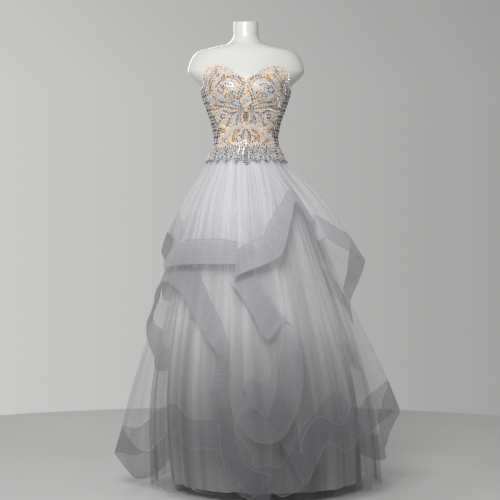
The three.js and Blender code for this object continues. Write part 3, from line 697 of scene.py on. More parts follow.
# %% Finishes of two near tones
def mottled_material(name, tones, noise, stretch=None, rough=None, bump=None, **constants):
    """A noise (scale, detail) mixes two tones, and may also move the gloss and the relief."""
    material, add, finish = new_material(name, **constants)
    place = add("ShaderNodeTexCoord").outputs["Object"]
    if stretch:
        place = add("ShaderNodeMapping", {"Vector": place, "Scale": stretch})
    mottle = add("ShaderNodeTexNoise", {"Vector": place, "Scale": noise[0], "Detail": noise[1]})
    dark, light = (linear(tone) for tone in tones)
    tone = add("ShaderNodeMix", {"Factor": mottle, 6: dark, 7: light}, data_type="RGBA")
    finish({"Base Color": tone})
    if rough:
        gloss = add("ShaderNodeMapRange", {"Value": mottle, "To Min": rough[0], "To Max": rough[1]})
        finish({"Roughness": gloss})
    if bump:
        raised = {"Height": mottle, "Strength": bump[0], "Distance": bump[1]}
        finish({"Normal": add("ShaderNodeBump", raised)})
    return material


# Gelcoat over glass fibre: white, with a clear hard gloss and a faint unevenness in its shine.
LACQUER = mottled_material(
    "white_gelcoat_lacquer", ("d2d2cf", "dad9d6"), (7.0, 3.0), rough=(0.24, 0.36),
    Coat_Weight=0.5, Coat_Roughness=0.08, IOR=1.5,
)

# %% Form
FORM_BOTTOM_Z = 1012.0
HIP = through([[WAIST_Z, 106, 77, 86], [1045, 120, 90, 101], [FORM_BOTTOM_Z, 120, 90, 101]])
FORM_INSET = 5.0
FORM_BUST_RISE = 9.0
FORM_TOP_Z, SHOULDER_Z = 1588.0, 1464.0
NECK = {"foot": 1500, "front": 43, "slope": 0.14}  # the slant grows from the neck's foot to its top
ARM_PLATE = {"x": 199.0, "z": 1408.0, "slant": 38.0}
RING_POINTS = 96


def form_rings():
    """Rings of the figure down to the waist, and of the hips below it."""
    angles = np.arange(RING_POINTS) * 360 / RING_POINTS
    rings = []
    for z in np.concatenate([np.linspace(FORM_TOP_Z, SHOULDER_Z, 40), np.linspace(1460, 1138, 60)]):
        ring = figure_point(angles, z, -FORM_INSET, FORM_BUST_RISE)
        if z > NECK["foot"]:
            part = min(1, (z - NECK["foot"]) / (FORM_TOP_Z - NECK["foot"]))
            ring[:, 2] += NECK["slope"] * (ring[:, 1] - NECK["front"]) * part
        rings.append(ring)
    for z in np.linspace(WAIST_Z, FORM_BOTTOM_Z, 14):
        rings.append(np.stack([*oval(HIP, angles, z), np.full(RING_POINTS, z)], -1))
    return np.array(rings)


form = grid_sheet("dress_form_torso", form_rings().transpose(1, 0, 2), True, LACQUER)
shell = bmesh.new()
shell.from_mesh(form.data)
slant = math.radians(ARM_PLATE["slant"])
for side in (-1, 1):
    bmesh.ops.bisect_plane(
        shell,
        geom=shell.verts[:] + shell.edges[:] + shell.faces[:],
        plane_co=(side * ARM_PLATE["x"] * MM, 0, ARM_PLATE["z"] * MM),
        plane_no=(side * math.cos(slant), 0, -math.sin(slant)),
        clear_outer=True,
    )
open_edges = [edge for edge in shell.edges if edge.is_boundary]
bmesh.ops.holes_fill(shell, edges=open_edges, sides=0)
for face in shell.faces:
    if len(face.verts) > 8:
        face.smooth = False
shell.to_mesh(form.data)
shell.free()
print("form:", len(form.data.polygons), "faces")

# %% [markdown]
# ## Stand and floor parts that stay as they are
# The pole and the disc base are simple turned shapes and keep their own meshes, with brushed steel.


# %% Brushed steel
def steel_material(name, colour, grain_mm, roughness):
    """Steel with the fine parallel scratches of an abrasive belt."""
    across = 1 / (grain_mm * MM)
    return mottled_material(
        name, (colour, "d8dadd"), (1.0, 2.0), (across, across, 12),
        rough=(roughness - 0.08, roughness + 0.12), Metallic=1.0,
    )


STEEL = steel_material("brushed_steel", "b4b7bb", 0.8, 0.3)
ZINC = steel_material("plated_zinc", "aeb2bc", 2.0, 0.25)
METALS = {"form_pole": STEEL, "form_base": STEEL, "zip_slider": ZINC, "zip_pull": ZINC}
for node_name, metal in METALS.items():
    nodes[node_name].data.materials.clear()
    nodes[node_name].data.materials.append(metal)

# %% [markdown]
# ## Bodice
# Five panels of champagne satin under embroidered mesh, cut with princess seams over the cups and a
# zip at the back. Each panel is a thin wall on the figure, with its seam allowance pressed inwards.

# %% Bodice panels
TOP_EDGE = through([
    [0, 1373], [7.5, 1386], [15, 1408], [22.5, 1420], [30, 1422], [37.5, 1415], [45, 1400],
    [52.5, 1382], [60, 1366], [75, 1352], [90, 1348], [180, 1348],
])
SEAM = 0.3
BODICE_BOTTOM_Z = WAIST_Z + SEAM
BODICE_WALL = 1.8


def champagne_material():
    """Nude satin seen through mesh that is embroidered all over with pale silver thread."""
    material, add, finish = new_material("champagne_satin_and_mesh", Roughness=0.5, Sheen_Weight=0.35)
    position = add("ShaderNodeTexCoord").outputs["Object"]
    scrolls = add("ShaderNodeTexVoronoi", {"Vector": position, "Scale": 85.0}, feature="SMOOTH_F1")
    worked = add("ShaderNodeMapRange", {"Value": scrolls, "From Min": 0.4, "From Max": 0.56})
    tones = {"Factor": worked, 6: linear("ebcbac"), 7: linear("c0c1c4")}
    tone = add("ShaderNodeMix", tones, data_type="RGBA")
    fibres = add("ShaderNodeTexNoise", {"Vector": position, "Scale": 900.0, "Detail": 1.0})
    height = add("ShaderNodeMath", {0: worked, 1: fibres}, operation="ADD")
    bump = add("ShaderNodeBump", {"Height": height, "Strength": 0.6, "Distance": 0.0012})
    finish({"Base Color": tone, "Normal": bump})
    return material


CHAMPAGNE = champagne_material()
PANELS = {  # name: first and last angle
    "bodice_centre_front": (-30, 30),
    "bodice_side_front_left": (-90, -30),
    "bodice_side_front_right": (30, 90),
    "bodice_back_left": (-180, -90),
    "bodice_back_right": (90, 180),
}
ZIP_GAP = 2.3  # from the middle of the back to each edge, where the zip lies between them
COLUMN_STEP = 1.25  # degrees


def bodice_panel(name, start, end, rows=56):
    """One panel on the figure, short of its neighbours by the seam, with a wall towards the inside."""
    grid = []
    for a in np.linspace(start, end, int((end - start) / COLUMN_STEP) + 1):
        top = float(TOP_EDGE(from_front(a))[0])
        z = top + (BODICE_BOTTOM_Z - top) * np.linspace(0, 1, rows)
        grid.append(figure_point(np.full(rows, a), z, 0.0))
    for k, side, angle in ((0, 1, start), (-1, -1, end)):
        width = ZIP_GAP if abs(angle) == 180 else SEAM
        x, y = grid[k][:, 0].copy(), grid[k][:, 1].copy()
        length = np.hypot(x, y)
        grid[k][:, 0] -= side * width * y / length
        grid[k][:, 1] += side * width * x / length
    made = grid_sheet(name + "_cloth", grid, False, CHAMPAGNE)
    wall = made.modifiers.new("wall", "SOLIDIFY")
    wall.thickness, wall.offset = BODICE_WALL * MM, -1
    return made


panels = {name: bodice_panel(name, *ends) for name, ends in PANELS.items()}
print("bodice panels:", {name: round(cloth_area(p), 3) for name, p in panels.items()})

# %% [markdown]
# ## Border over the waist seam
# A band of beaded lace lies over the seam and the first gathers. Its lower edge is cut into points,
# with the longest at the centre front.

# %% Applique lace
APPLIQUE_TOP_Z = 1150.0
APPLIQUE_OUTSET = 13.0
APPLIQUE_SLOPE = 0.1
LACE_RISE = 0.7


def border_point(angle, z, lift):
    """On the lace border, from its top edge at the bodice to its points over the gathers."""
    z = np.asarray(z, float)
    upper = figure_point(angle, APPLIQUE_TOP_Z, LACE_RISE + lift)
    waist = bell_point(angle, WAIST_Z, APPLIQUE_OUTSET + lift)
    part = np.clip((APPLIQUE_TOP_Z - z) / (APPLIQUE_TOP_Z - WAIST_Z), 0, 1)[..., None]
    below = np.maximum(0, WAIST_Z - z)
    hanging = bell_point(angle, WAIST_Z - below, APPLIQUE_OUTSET + APPLIQUE_SLOPE * below + lift)
    return np.where((z < WAIST_Z)[..., None], hanging, upper + (waist - upper) * part)


def beaded_point(angle, z, lift):
    """Any place on the beaded part of the gown, above or below the lace's top edge."""
    z = np.asarray(z, float)
    on_border = border_point(angle, z, lift)
    return np.where((z < APPLIQUE_TOP_Z)[..., None], on_border, figure_point(angle, z, lift))


def border_drop(angle):
    """How far the lace reaches below the waist seam."""
    wave = 0.5 - 0.5 * np.cos(np.radians(angle * 24))
    return 10 + 14 * (1 - wave) + 8 * np.exp(-((from_front(angle) / 14) ** 2))


def lace_material():
    """Lace worked in silver thread: pale motifs, and darker net in the gaps between them."""
    material, add, finish = new_material("silver_beaded_lace", Roughness=0.65, Metallic=0.1, Sheen_Weight=0.3)
    position = add("ShaderNodeTexCoord").outputs["Object"]
    motif = add("ShaderNodeTexVoronoi", {"Vector": position, "Scale": 190.0}, feature="F1")
    tone = add("ShaderNodeValToRGB", {"Fac": motif})
    middle, gap = tone.color_ramp.elements
    middle.color, gap.color, gap.position = linear("dcdde0"), linear("8a8b90"), 0.75
    finish({"Base Color": tone})
    return material


LACE = lace_material()
borders = {}
for name, start, end in (("applique_front", -90, 90), ("applique_back", 90, 270)):
    columns = []
    for a in np.linspace(start + 0.1, end - 0.1, 145):
        lowest = WAIST_Z - float(border_drop(a))
        z = np.concatenate([np.linspace(APPLIQUE_TOP_Z, WAIST_Z, 7), np.linspace(WAIST_Z, lowest, 7)[1:]])
        columns.append(border_point(np.full(13, a), z, 0.4))
    borders[name] = grid_sheet(name + "_lace", columns, False, LACE)
print("lace border:", [round(cloth_area(b), 3) for b in borders.values()])

# %% [markdown]
# ## Embroidery and stones
# The bodice is worked from the centre outwards, the same on both sides: curled leaves in silver
# thread, gold cord round the larger drops, lines of dark hematite stones and small pale crystals.
# Each line of the pattern is a few listed places, written in the front view for the middle of
# the bodice and as angle and height for its sides, and smoothed by a curve. Leaves are crowned ribbons,
# cords are swept, and stones are set along the lines by Geometry Nodes.


# %% Lines of the pattern
def front(*places):
    """Places given as x and z in the front view, as angle and height."""
    made = []
    for x, z in places:
        width = FIGURE(max(z, APPLIQUE_TOP_Z))[0] + 4
        made.append((math.degrees(math.asin(max(-1.0, min(1.0, x / width)))), z))
    return made


def smooth_line(places, step=1.6):
    """A Catmull-Rom curve through the places, as points [angle, z] about step mm apart."""
    p = np.array(places, float)
    if len(p) == 2:
        p = np.array([p[0], (p[0] + p[1]) / 2, p[1]])
    ends = np.vstack([2 * p[0] - p[1], p, 2 * p[-1] - p[-2]])
    made = []
    for a, b, c, d in zip(ends[:-3], ends[1:-2], ends[2:-1], ends[3:]):
        length = math.hypot((c[0] - b[0]) * 2.2, c[1] - b[1])
        u = np.linspace(0, 1, max(2, int(length / step) + 1))[:-1, None]
        made.append(between(a, b, c, d, u))
    return np.vstack(made + [p[-1:]])


def curl(at, radius, turns, start, grow=0.25):
    """A spiral scroll in the front view, from its outer end to its eye."""
    t = np.linspace(0, 1, 9)
    a = np.radians(start) + t * math.tau * turns
    r = radius * (1 - (1 - grow) * t)
    return front(*zip(at[0] + r * np.cos(a), at[1] + r * np.sin(a)))


def ring_of(at, radius):
    a = np.linspace(0, math.tau, 9)
    return front(*zip(at[0] + radius * np.cos(a), at[1] + radius * np.sin(a)))


def drop_outline(at, length, turn=0.0):
    """A teardrop, point up, turned by so many degrees."""
    a = np.linspace(0, math.tau, 11)
    x = 0.26 * length * np.sin(a) * np.sin(a / 2) ** 1.3
    z = 0.5 * length * np.cos(a)
    c, s = math.cos(math.radians(turn)), math.sin(math.radians(turn))
    return front(*zip(at[0] + c * x - s * z, at[1] + s * x + c * z))


LEAVES, GOLD_CORDS, DARK_STONES, CRYSTALS = [], [], [], []
PEACH_DROPS = []  # place, length, turn


def leaf(width, *places):
    LEAVES.append((width, front(*places)))


# cups: a large curled leaf round a peach heart, with lines of dark stones across it
leaf(9, (24, 1316), (30, 1339), (44, 1359), (64, 1365), (82, 1353), (88, 1334))
leaf(7, (88, 1333), (84, 1314), (68, 1302), (52, 1305), (46, 1317), (56, 1324))
leaf(6, (18, 1362), (32, 1381), (50, 1391), (66, 1387))
leaf(6, (40, 1387), (58, 1403), (78, 1409), (92, 1401))
leaf(6, (100, 1397), (114, 1381), (124, 1359), (128, 1338))
leaf(5, (96, 1381), (106, 1362), (110, 1343), (106, 1326))
leaf(5, (30, 1333), (40, 1345), (54, 1350))
leaf(5, (98, 1319), (112, 1310), (128, 1316), (136, 1331))
leaf(4.5, (58, 1334), (68, 1343), (76, 1336), (70, 1328))
GOLD_CORDS += [
    front((20, 1355), (36, 1373), (58, 1377), (80, 1366), (94, 1345)),
    front((94, 1401), (108, 1385), (118, 1364)),
    front((44, 1300), (38, 1310), (42, 1322), (52, 1328)),
    front((104, 1334), (116, 1345), (120, 1362), (114, 1377)),
    curl((56, 1316), 13, 1.2, 200),
]
DARK_STONES += [
    front((4, 1359), (10, 1334), (17, 1319), (22, 1300), (16, 1284)),
    front((10, 1362), (17, 1343), (24, 1326), (29, 1307)),
    front((34, 1326), (50, 1335), (68, 1345), (84, 1357)),
    front((48, 1353), (60, 1357), (68, 1350)),
    front((24, 1377), (42, 1383), (60, 1381)),
    front((98, 1405), (112, 1391), (124, 1373), (134, 1353)),
    front((90, 1389), (104, 1371), (114, 1352), (118, 1331)),
    front((74, 1296), (90, 1303), (104, 1316)),
    ring_of((76, 1336), 9),
]
CRYSTALS += [
    front((28, 1317), (36, 1343), (54, 1359), (76, 1357)),
    front((56, 1397), (76, 1401), (94, 1389)),
    front((52, 1310), (64, 1307), (76, 1316)),
    front((106, 1395), (122, 1375), (132, 1348), (134, 1329)),
    ring_of((50, 1340), 7),
]
PEACH_DROPS += [((20, 1376), 21, -24), ((72, 1377), 25, 8), ((118, 1357), 20, -30), ((40, 1305), 22, 28)]

# centre: a fan under a dark knot, with lines that sweep out to the side seams
leaf(7, (8, 1281), (30, 1288), (56, 1300), (82, 1304))
leaf(6, (10, 1276), (34, 1278), (60, 1284), (88, 1290))
leaf(6, (8, 1272), (18, 1262), (22, 1246), (16, 1232))
leaf(7, (20, 1270), (36, 1256), (46, 1240), (44, 1224))
leaf(6, (14, 1226), (32, 1218), (54, 1222), (78, 1232))
leaf(5, (50, 1262), (64, 1252), (80, 1252), (92, 1262))
leaf(5, (60, 1240), (74, 1232), (92, 1238), (104, 1252))
GOLD_CORDS += [
    front((6, 1276), (26, 1284), (52, 1294), (84, 1298)),
    front((16, 1270), (25, 1256), (26, 1240), (18, 1228)),
    front((12, 1268), (19, 1254), (19, 1240), (12, 1230)),
    front((34, 1266), (46, 1256), (56, 1240), (62, 1224)),
    front((84, 1284), (98, 1276), (110, 1280)),
]
DARK_STONES += [
    front((8, 1274), (28, 1276), (52, 1280), (78, 1284), (104, 1290)),
    front((26, 1268), (42, 1262), (58, 1264), (74, 1270)),
    front((6, 1264), (8, 1250), (4, 1238)),
    front((28, 1250), (34, 1238), (32, 1226)),
    front((70, 1258), (78, 1262), (86, 1256), (82, 1246), (74, 1248)),
    front((88, 1240), (98, 1228), (102, 1212)),
]
CRYSTALS += [
    front((4, 1284), (20, 1296), (44, 1306)),
    front((36, 1250), (48, 1248), (58, 1252)),
    front((20, 1222), (40, 1212), (60, 1214), (80, 1222)),
    front((64, 1274), (84, 1274), (104, 1270)),
    ring_of((78, 1252), 11),
]
PEACH_DROPS += [((0, 1254), 24, 0), ((80, 1207), 24, -55), ((62, 1226), 18, 40)]

# waist: peach drops between rings of stones, and leaves that lean outwards
leaf(5, (6, 1212), (18, 1204), (32, 1206), (42, 1200))
leaf(5, (56, 1196), (66, 1184), (80, 1182), (92, 1192))
leaf(6, (8, 1152), (24, 1160), (32, 1152), (52, 1156), (72, 1166), (88, 1176))
leaf(5, (86, 1168), (94, 1154), (98, 1136))
leaf(4.5, (10, 1196), (16, 1186), (12, 1174))
GOLD_CORDS += [
    front((54, 1160), (66, 1168), (82, 1172)),
    front((26, 1202), (34, 1206), (40, 1200), (34, 1195), (26, 1202)),
    front((86, 1216), (92, 1200), (90, 1184)),
    front((4, 1208), (8, 1190), (4, 1168), (6, 1150)),
]
DARK_STONES += [
    ring_of((22, 1178), 11),
    front((4, 1206), (12, 1196), (16, 1184), (14, 1168), (6, 1156)),
    front((28, 1152), (44, 1154), (58, 1160), (70, 1152)),
    front((92, 1216), (98, 1196), (100, 1176), (106, 1156)),
]
CRYSTALS += [
    ring_of((62, 1206), 8),
    front((50, 1188), (56, 1174), (52, 1160)),
    front((72, 1198), (82, 1192), (90, 1180)),
    front((2, 1200), (4, 1180), (2, 1160)),
]
PEACH_DROPS += [((43, 1181), 25, 0), ((24, 1206), 12, 60), ((70, 1172), 16, -50)]

# %% [markdown]
# The sides and the back are covered by one repeat: a leaning leaf, a gold stem and two lines of
# stones, set in rows that lean the other way by turns. Round the border, feathered drops point down.

# %% Repeats at the sides and round the border
SIDE_RANKS = np.arange(1336, 1160, -23)
SIDE_STEP = 11.5  # degrees from one leaf to the next
for rank, z in enumerate(SIDE_RANKS):
    lean = 5 if rank % 2 else -5
    for angle in np.arange(64 if z > 1200 else 60, 181, SIDE_STEP):
        a = angle + (SIDE_STEP / 2 if rank % 2 else 0)
        if a > 176:
            continue
        LEAVES.append((5.5, [(a - lean, z - 11), (a, z - 2), (a + lean * 0.4, z + 10)]))
        GOLD_CORDS.append([(a - lean + 2, z - 11), (a + 2.6, z), (a + lean * 0.4 + 1, z + 11)])
        DARK_STONES.append([(a - 5, z - 10), (a - 3.5, z), (a - 4.5, z + 11)])
        DARK_STONES.append([(a + 2, z - 9), (a + 1.2, z + 8)])
        CRYSTALS.append([(a + 5, z - 8), (a + 4, z + 8)])
for k, angle in enumerate(np.arange(0, 180.1, 7.5)):
    reach = WAIST_Z - float(border_drop(angle))
    lean = (0, 2.4, -2.0)[k % 3] if angle > 5 else 0
    top = (1149, 1142, 1146)[k % 3]
    LEAVES.append((4.5, [(angle - lean, top), (angle + lean * 0.2, 1130), (angle + lean, reach + 5)]))
    turns = np.linspace(0, 1, 9)
    scroll = 5.5 * (1 - 0.7 * turns)
    spin = np.radians(90 + (-1) ** k * 420 * turns)
    heart = (angle + 3.9, 1136 - 6 * (k % 2))
    GOLD_CORDS.append(list(zip(heart[0] + scroll * np.cos(spin) * 0.45, heart[1] + scroll * np.sin(spin))))
    GOLD_CORDS.append([(angle + 1.4, 1148), (angle + 1.0 + lean * 0.4, 1132), (angle + lean, 1116)])
    DARK_STONES.append([(angle - 2.6, 1147), (angle - 2.4 + lean, 1130), (angle - 1.2, reach + 6)])
    CRYSTALS.append([(angle + 3.2, 1148), (angle + 4.4, 1126), (angle + 3.4, 1112)])
print(len(LEAVES), "leaves,", len(GOLD_CORDS), "gold cords,", len(DARK_STONES), "lines of dark stones")


# %% Embroidery: crowned leaves, cords and drops
def both_sides(line):
    return [line, line * [-1, 1]]


def surface_line(line, lift):
    return beaded_point(line[:, 0], line[:, 1], lift)


def across_line(line):
    """The surface's normal and the direction across a line of the pattern, at each of its points."""
    here = surface_line(line, 0.0)
    along = np.gradient(here, axis=0)
    turned = surface_line(line + [0.4, 0], 0.0) - here
    fallen = surface_line(line - [0, 0.4], 0.0) - here
    normal = np.cross(turned, -fallen)
    normal /= np.linalg.norm(normal, axis=1)[:, None]
    outward = np.sign(np.sum(normal[:, :2] * here[:, :2], axis=1))[:, None]
    normal *= outward
    across = np.cross(along, normal)
    return normal, across / np.maximum(np.linalg.norm(across, axis=1), 1e-9)[:, None]


def leaf_mesh(name, leaves, material, crown=1.3):
    """Each leaf is a ribbon that swells from its tip and back, five points wide, raised in the middle."""
    points, faces = [], []
    for width, places in leaves:
        for line in both_sides(smooth_line(places, 3.0)):
            n, start = len(line), len(points)
            t = np.linspace(0, 1, n)
            half = width / 2 * np.sin(math.pi * (0.06 + 0.88 * t) ** 0.8) ** 0.8
            normal, across = across_line(line)
            here = surface_line(line, 0.25)
            for k in range(n):
                for side, height in ((-1, 0), (-0.55, 0.75), (0, 1), (0.55, 0.75), (1, 0)):
                    points.append(here[k] + across[k] * half[k] * side + normal[k] * crown * height)
            for a in (start + k * 5 + m for k in range(n - 1) for m in range(4)):
                faces.append((a, a + 5, a + 6, a + 1))
    return add_mesh(name, points, faces, material)


def embroidery_material(name, dark, light, stitch_mm, metallic):
    """Close parallel stitches of rayon: a silky thread that shines across the leaf."""
    return mottled_material(
        name, (dark, light), (1 / (stitch_mm * MM), 2.0), bump=(0.4, 0.0006),
        Roughness=0.55, Metallic=metallic, Sheen_Weight=0.3,
    )


def on_cloth(groups, lift):
    """Lines of the pattern, smoothed and laid on both sides of the gown."""
    return [surface_line(side, lift) for places in groups for side in both_sides(smooth_line(places))]


SILVER_SILK = embroidery_material("silver_rayon", "9c9da2", "e4e5e8", 1.6, 0.05)
GOLD_CORD = embroidery_material("antique_gold_cord", "6e5638", "c8a878", 1.2, 0.7)
GOLD_CORD_MM = 2.0
leaves = leaf_mesh("silver_leaves", LEAVES, SILVER_SILK)
cord_lines = on_cloth(GOLD_CORDS + [drop_outline(*drop) for drop in PEACH_DROPS], 1.0)
gold = grown(
    curve_object("gold_lines", cord_lines), THREAD_TREE, "gold_cords",
    Thickness=GOLD_CORD_MM * MM, Sides=6, Material=GOLD_CORD,
)
print("embroidery:", len(leaves.data.polygons), "+", len(gold.data.polygons), "faces")

# %% [markdown]
# Stones are set by two trees that share their last nodes. One walks along the lines at an even
# spacing, the other strews places over the cloth. Both read the cloth's normal under each place and
# put a cut stone there: a cone with a flat table, which catches the light with few faces.

# %% Stone setter
STONE_INPUTS = {
    "Cloth": "Object", "Spacing": "Float", "Size": "Float",
    "Facets": "Int", "Seed": "Int", "Material": "Material",
}


def place_stones(add, given, points):
    """Cut stones on points, their tables facing away from the cloth, in slightly uneven sizes."""
    cloth = add("GeometryNodeObjectInfo", {"Object": given["Cloth"]}, transform_space="RELATIVE")
    facing = {"Mesh": cloth.outputs["Geometry"], "Value": add("GeometryNodeInputNormal")}
    nearest = add("GeometryNodeSampleNearestSurface", facing, data_type="FLOAT_VECTOR")
    turned = add("FunctionNodeAlignRotationToVector", {"Vector": nearest}, axis="Z")
    share = lambda part: add("ShaderNodeMath", {0: given["Size"], 1: part}, operation="MULTIPLY")
    table, girdle, depth = share(0.3), share(0.5), share(0.45)
    cut = {"Vertices": given["Facets"], "Radius Top": table, "Radius Bottom": girdle, "Depth": depth}
    stone = add("GeometryNodeMeshCone", cut)
    uneven = add("FunctionNodeRandomValue", {"Seed": given["Seed"], 2: 0.75, 3: 1.2}, data_type="FLOAT")
    placed = {"Points": points, "Instance": stone, "Rotation": turned, "Scale": uneven}
    return add("GeometryNodeInstanceOnPoints", placed)


def stones_on_lines():
    add, given, end = node_tree("stones_on_lines", STONE_INPUTS)
    walk = {"Curve": given["Geometry"], "Length": given["Spacing"]}
    return end(place_stones(add, given, add("GeometryNodeResampleCurve", walk, mode="LENGTH")))


def stones_all_over():
    add, given, end = node_tree("stones_all_over", STONE_INPUTS)
    cloth = add("GeometryNodeObjectInfo", {"Object": given["Cloth"]}, transform_space="RELATIVE")
    strew = {
        "Mesh": cloth.outputs["Geometry"], "Distance Min": given["Spacing"], "Density Max": 60000.0,
        "Seed": given["Seed"],
    }
    strewn = add("GeometryNodeDistributePointsOnFaces", strew, distribute_method="POISSON")
    return end(place_stones(add, given, strewn))


def beaded_cloth():
    """One plain copy of the beaded surface, for the stone setter to stand its stones on."""
    columns = []
    for a in np.arange(-180, 180, 2.5):
        top = float(TOP_EDGE(from_front(a))[0]) - 3
        z = np.linspace(top, WAIST_Z - float(border_drop(a)) + 4, 70)
        columns.append(beaded_point(np.full(70, a), z, 0.6))
    return grid_sheet("beading_ground", columns, True, CHAMPAGNE)


def jewel_material(name, colour, **constants):
    """Cut glass with a foil back: very smooth, and each stone a little lighter or darker."""
    material, add, finish = new_material(name, **constants)
    position = add("ShaderNodeTexCoord").outputs["Object"]
    each = add("ShaderNodeTexNoise", {"Vector": position, "Scale": 240.0, "Detail": 0.0})
    value = add("ShaderNodeMapRange", {"Value": each, "To Min": 0.5, "To Max": 1.5})
    finish({"Base Color": add("ShaderNodeHueSaturation", {"Color": linear(colour), "Value": value})})
    return material


HEMATITE = jewel_material("hematite_stone", "34354c", Roughness=0.2, Metallic=0.4)
CRYSTAL = jewel_material("foiled_crystal", "ffffff", Roughness=0.12, Metallic=0.1, Coat_Weight=0.5)
PEACH_STONE = jewel_material("champagne_stone", "e9b98e", Roughness=0.1, Metallic=0.35, Coat_Weight=0.6)
SEED_BEAD = jewel_material("silver_lined_bead", "dcdee4", Roughness=0.2, Metallic=0.2)
CITRINE = jewel_material("citrine_bead", "c9c48a", Roughness=0.15, Metallic=0.3)

ground = beaded_cloth()
ON_LINES, ALL_OVER = stones_on_lines(), stones_all_over()


def stones(tree, name, lines, spacing, size, facets, material, seed):
    """Stones of one kind, all in one mesh."""
    return grown(
        curve_object(name + "_lines", lines), tree, name, Cloth=ground, Spacing=spacing * MM,
        Size=size * MM, Facets=facets, Seed=seed, Material=material,
    )


STONE_LIFT = 1.1
NECKLINE = [[(a, float(TOP_EDGE(a)[0]) - 2.5) for a in np.arange(0, 180.1, 7.5)]]
dark_lines, crystal_lines, neckline = (on_cloth(g, STONE_LIFT) for g in (DARK_STONES, CRYSTALS, NECKLINE))
no_line = [[(0, 0, 1200), (0, 0, 1201)]]  # strewn stones read the cloth only
beading = [  # spacing and size in millimetres, facets, finish and seed
    stones(ON_LINES, "hematite_lines", dark_lines, 8.4, 4.6, 8, HEMATITE, 1),
    stones(ON_LINES, "crystal_lines", crystal_lines, 5.4, 4.2, 7, CRYSTAL, 2),
    stones(ON_LINES, "neckline_crystals", neckline, 5.0, 4.4, 8, CRYSTAL, 3),
    stones(ALL_OVER, "silver_seed_beads", no_line, 5.4, 2.6, 6, SEED_BEAD, 4),
    stones(ALL_OVER, "hematite_seed_beads", no_line, 13.0, 3.0, 6, HEMATITE, 5),
    stones(ALL_OVER, "citrine_beads", no_line, 24.0, 3.0, 6, CITRINE, 6),
]
print("beading:", {b.name: len(b.data.polygons) for b in beading})


# %% Teardrop stones
def drop_stones(name, drops, material):
    """Faceted drops inside their gold outlines: a rim, a raised table and a flat top."""
    points, faces = [], []
    for at, length, turn in drops:
        rim = smooth_line(drop_outline(at, length * 0.86, turn), 2.0)[:-1]
        for line in both_sides(rim):
            centre = line.mean(axis=0)
            n, start = len(line), len(points)
            points.extend(surface_line(line, 0.6))
            points.extend(surface_line(centre + (line - centre) * 0.55, 2.4))
            for k in range(n):
                m = (k + 1) % n
                faces.append((start + k, start + m, start + n + m, start + n + k))
            faces.append(tuple(start + n + k for k in range(n)))
    return add_mesh(name, points, faces, material, smooth=False)


drops = drop_stones("champagne_drops", PEACH_DROPS, PEACH_STONE)
for fixed in (drops, leaves):
    tidy = bmesh.new()
    tidy.from_mesh(fixed.data)
    tidy.normal_update()
    for face in tidy.faces:
        middle = face.calc_center_median()
        if face.normal.x * middle.x + face.normal.y * middle.y < 0:
            face.normal_flip()
    tidy.to_mesh(fixed.data)
    tidy.free()
bpy.data.objects.remove(ground)

# %% [markdown]
# ## Zip
# The coil is a row of fine teeth on a tape. The teeth repeat at one pitch down the centre back, from
# each side by turns, and each is a small block that is set on the figure's line at its own height.

# %% Zip teeth
TOOTH_PITCH = 2.2
TAPE_TOP_Z = 1338
TAPE_HALF = 1.8
TOOTH_REACH = 0.55  # how far each tooth crosses the middle
BLOCK = ((0, 1, 3, 2), (4, 6, 7, 5), (0, 4, 5, 1), (2, 3, 7, 6), (0, 2, 6, 4), (1, 5, 7, 3))
tape_z = np.linspace(TAPE_TOP_Z, BODICE_BOTTOM_Z, 40)
tape_line = figure_point(np.full(40, 180.0), tape_z, -0.4) * [0, 1, 1]
tape = grid_sheet("zip_tape", [tape_line + [x, 0, 0] for x in (TAPE_HALF, -TAPE_HALF)], False, HEM_THREAD)
tooth_points, tooth_faces = [], []
for k, z in enumerate(np.arange(TAPE_TOP_Z - 2, BODICE_BOTTOM_Z + 2, -TOOTH_PITCH)):
    y = float(figure_point(180.0, z, 0.0)[1])
    x = -TOOTH_REACH if k % 2 else TOOTH_REACH
    start = len(tooth_points)
    corners = itertools.product((x - 0.9, x + 0.9), (y - 0.6, y + 0.5), (z - 0.5, z + 0.5))
    tooth_points += list(corners)
    tooth_faces += [tuple(start + q for q in quad) for quad in BLOCK]
teeth = add_mesh("zip_teeth", tooth_points, tooth_faces, ZINC, smooth=False)
print("zip:", len(tooth_faces) // len(BLOCK), "teeth")

# %% [markdown]
# ## Floor and light
# A pale floor runs back to a soft horizon. One large soft light stands in front, a little to the left
# and high up. A weak one at the right opens the shade, and one behind lifts the edges of the net. The
# walls are darker to the right and overhead, as in a studio whose window is on the left.

# %% Floor
FLOOR_RADIUS, FLOOR_SIDES = 2300, 96
PALE_FLOOR = mottled_material("pale_floor", ("cccccb", "d6d6d5"), (1.6, 4.0), Roughness=0.7)
turns = np.linspace(0, math.tau, FLOOR_SIDES + 1)[:-1]
rim = [(FLOOR_RADIUS * math.cos(a), FLOOR_RADIUS * math.sin(a), 0) for a in turns]
floor = add_mesh("floor", rim, [tuple(range(FLOOR_SIDES))], PALE_FLOOR, smooth=False)


# %% Lights
def soft_light(name, place, aim, size, power):
    """A square white area light at a place in metres, turned to a point; its power is in watts."""
    data = bpy.data.lights.new(name, "AREA")
    data.size, data.energy = size, power
    lamp = placed(name, data)
    lamp.location = place
    lamp.rotation_euler = (Vector(aim) - Vector(place)).to_track_quat("-Z", "Y").to_euler()


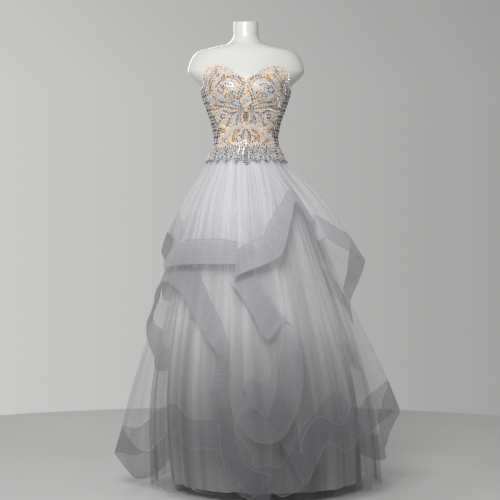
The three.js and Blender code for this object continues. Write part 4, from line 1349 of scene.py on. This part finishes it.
soft_light("key", (-0.6, -3.2, 3.0), (0, 0, 1.15), 1.4, 105)
soft_light("fill", (2.6, -3.0, 2.4), (0, 0, 1.3), 2.0, 5)
soft_light("rim", (-1.2, 2.6, 2.4), (0, 0, 0.9), 1.8, 20)
world = bpy.data.worlds.new("studio")
world.use_nodes = True
add = partial(add_node, world.node_tree)
towards = add("ShaderNodeSeparateXYZ", {"Vector": add("ShaderNodeTexCoord").outputs["Generated"]}).outputs
aside = {"Value": towards["X"], "From Min": -0.2, "From Max": 0.22, "To Min": 1.02, "To Max": 0.58}
overhead = {"Value": towards["Z"], "From Min": 0.12, "From Max": 0.6, "To Min": 1.0, "To Max": 0.5}
shades = {k: add("ShaderNodeMapRange", way) for k, way in enumerate((aside, overhead))}
strength = add("ShaderNodeMath", shades, operation="MULTIPLY")
connect(world.node_tree.nodes["Background"], {"Color": linear("c9cac8"), "Strength": strength})
bpy.context.scene.world = world
bpy.context.scene.cycles.transparent_max_bounces = 24  # many sheets of net lie behind each other
bpy.context.scene.view_settings.view_transform = "Standard"

# %% [markdown]
# ## What each piece stands for
# Every piece rides on the root body, as the form does, and the nodes of the model that the pieces
# stand for are hidden.

# %% Pieces, nodes and cuts
CLOTHS = [  # piece, node, slot, flat width and length in metres, area, how it is held, what it rests on
    (lining, "skirt_lining", "satin", (2.5, 1.12), 1.95, "hung", "form_torso"),
    (underskirt, "tulle_underskirt", "tulle", (2.9, 1.14), 2.35, "gathered", "skirt_lining"),
]
for piece, node_name, slot_name, flat, area, held, under in CLOTHS:
    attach(piece, "root")
    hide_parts(node_name)
LAYER_CUTS = {  # flat width, length and area of the net; width of the band's strip
    "top_layer": ((1.9, 0.62), 0.6, 3.07),
    "centre_cascade": ((0.75, 1.0), 0.46, 1.59),
    "left_cascade": ((1.5, 0.98), 0.84, 2.42),
    "low_layer": ((2.9, 1.06), 2.1, 3.32),
}
for layer_name, (flat, area, band_length) in LAYER_CUTS.items():
    net, strip, thread = nets[layer_name], bands[layer_name], threads[layer_name]
    for piece in (net, strip, thread):
        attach(piece, "root")
    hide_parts(layer_name)
    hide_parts(layer_name + "_band")
for name, piece in panels.items():
    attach(piece, "root")
    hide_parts(name)
for name, piece in borders.items():
    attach(piece, "root")
    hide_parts(name)
for piece in [leaves, gold, drops, *beading]:
    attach(piece, "root")
for piece in (tape, teeth):
    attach(piece, "root")
    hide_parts("zip_coil")
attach(form, "root")
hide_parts("form_torso")
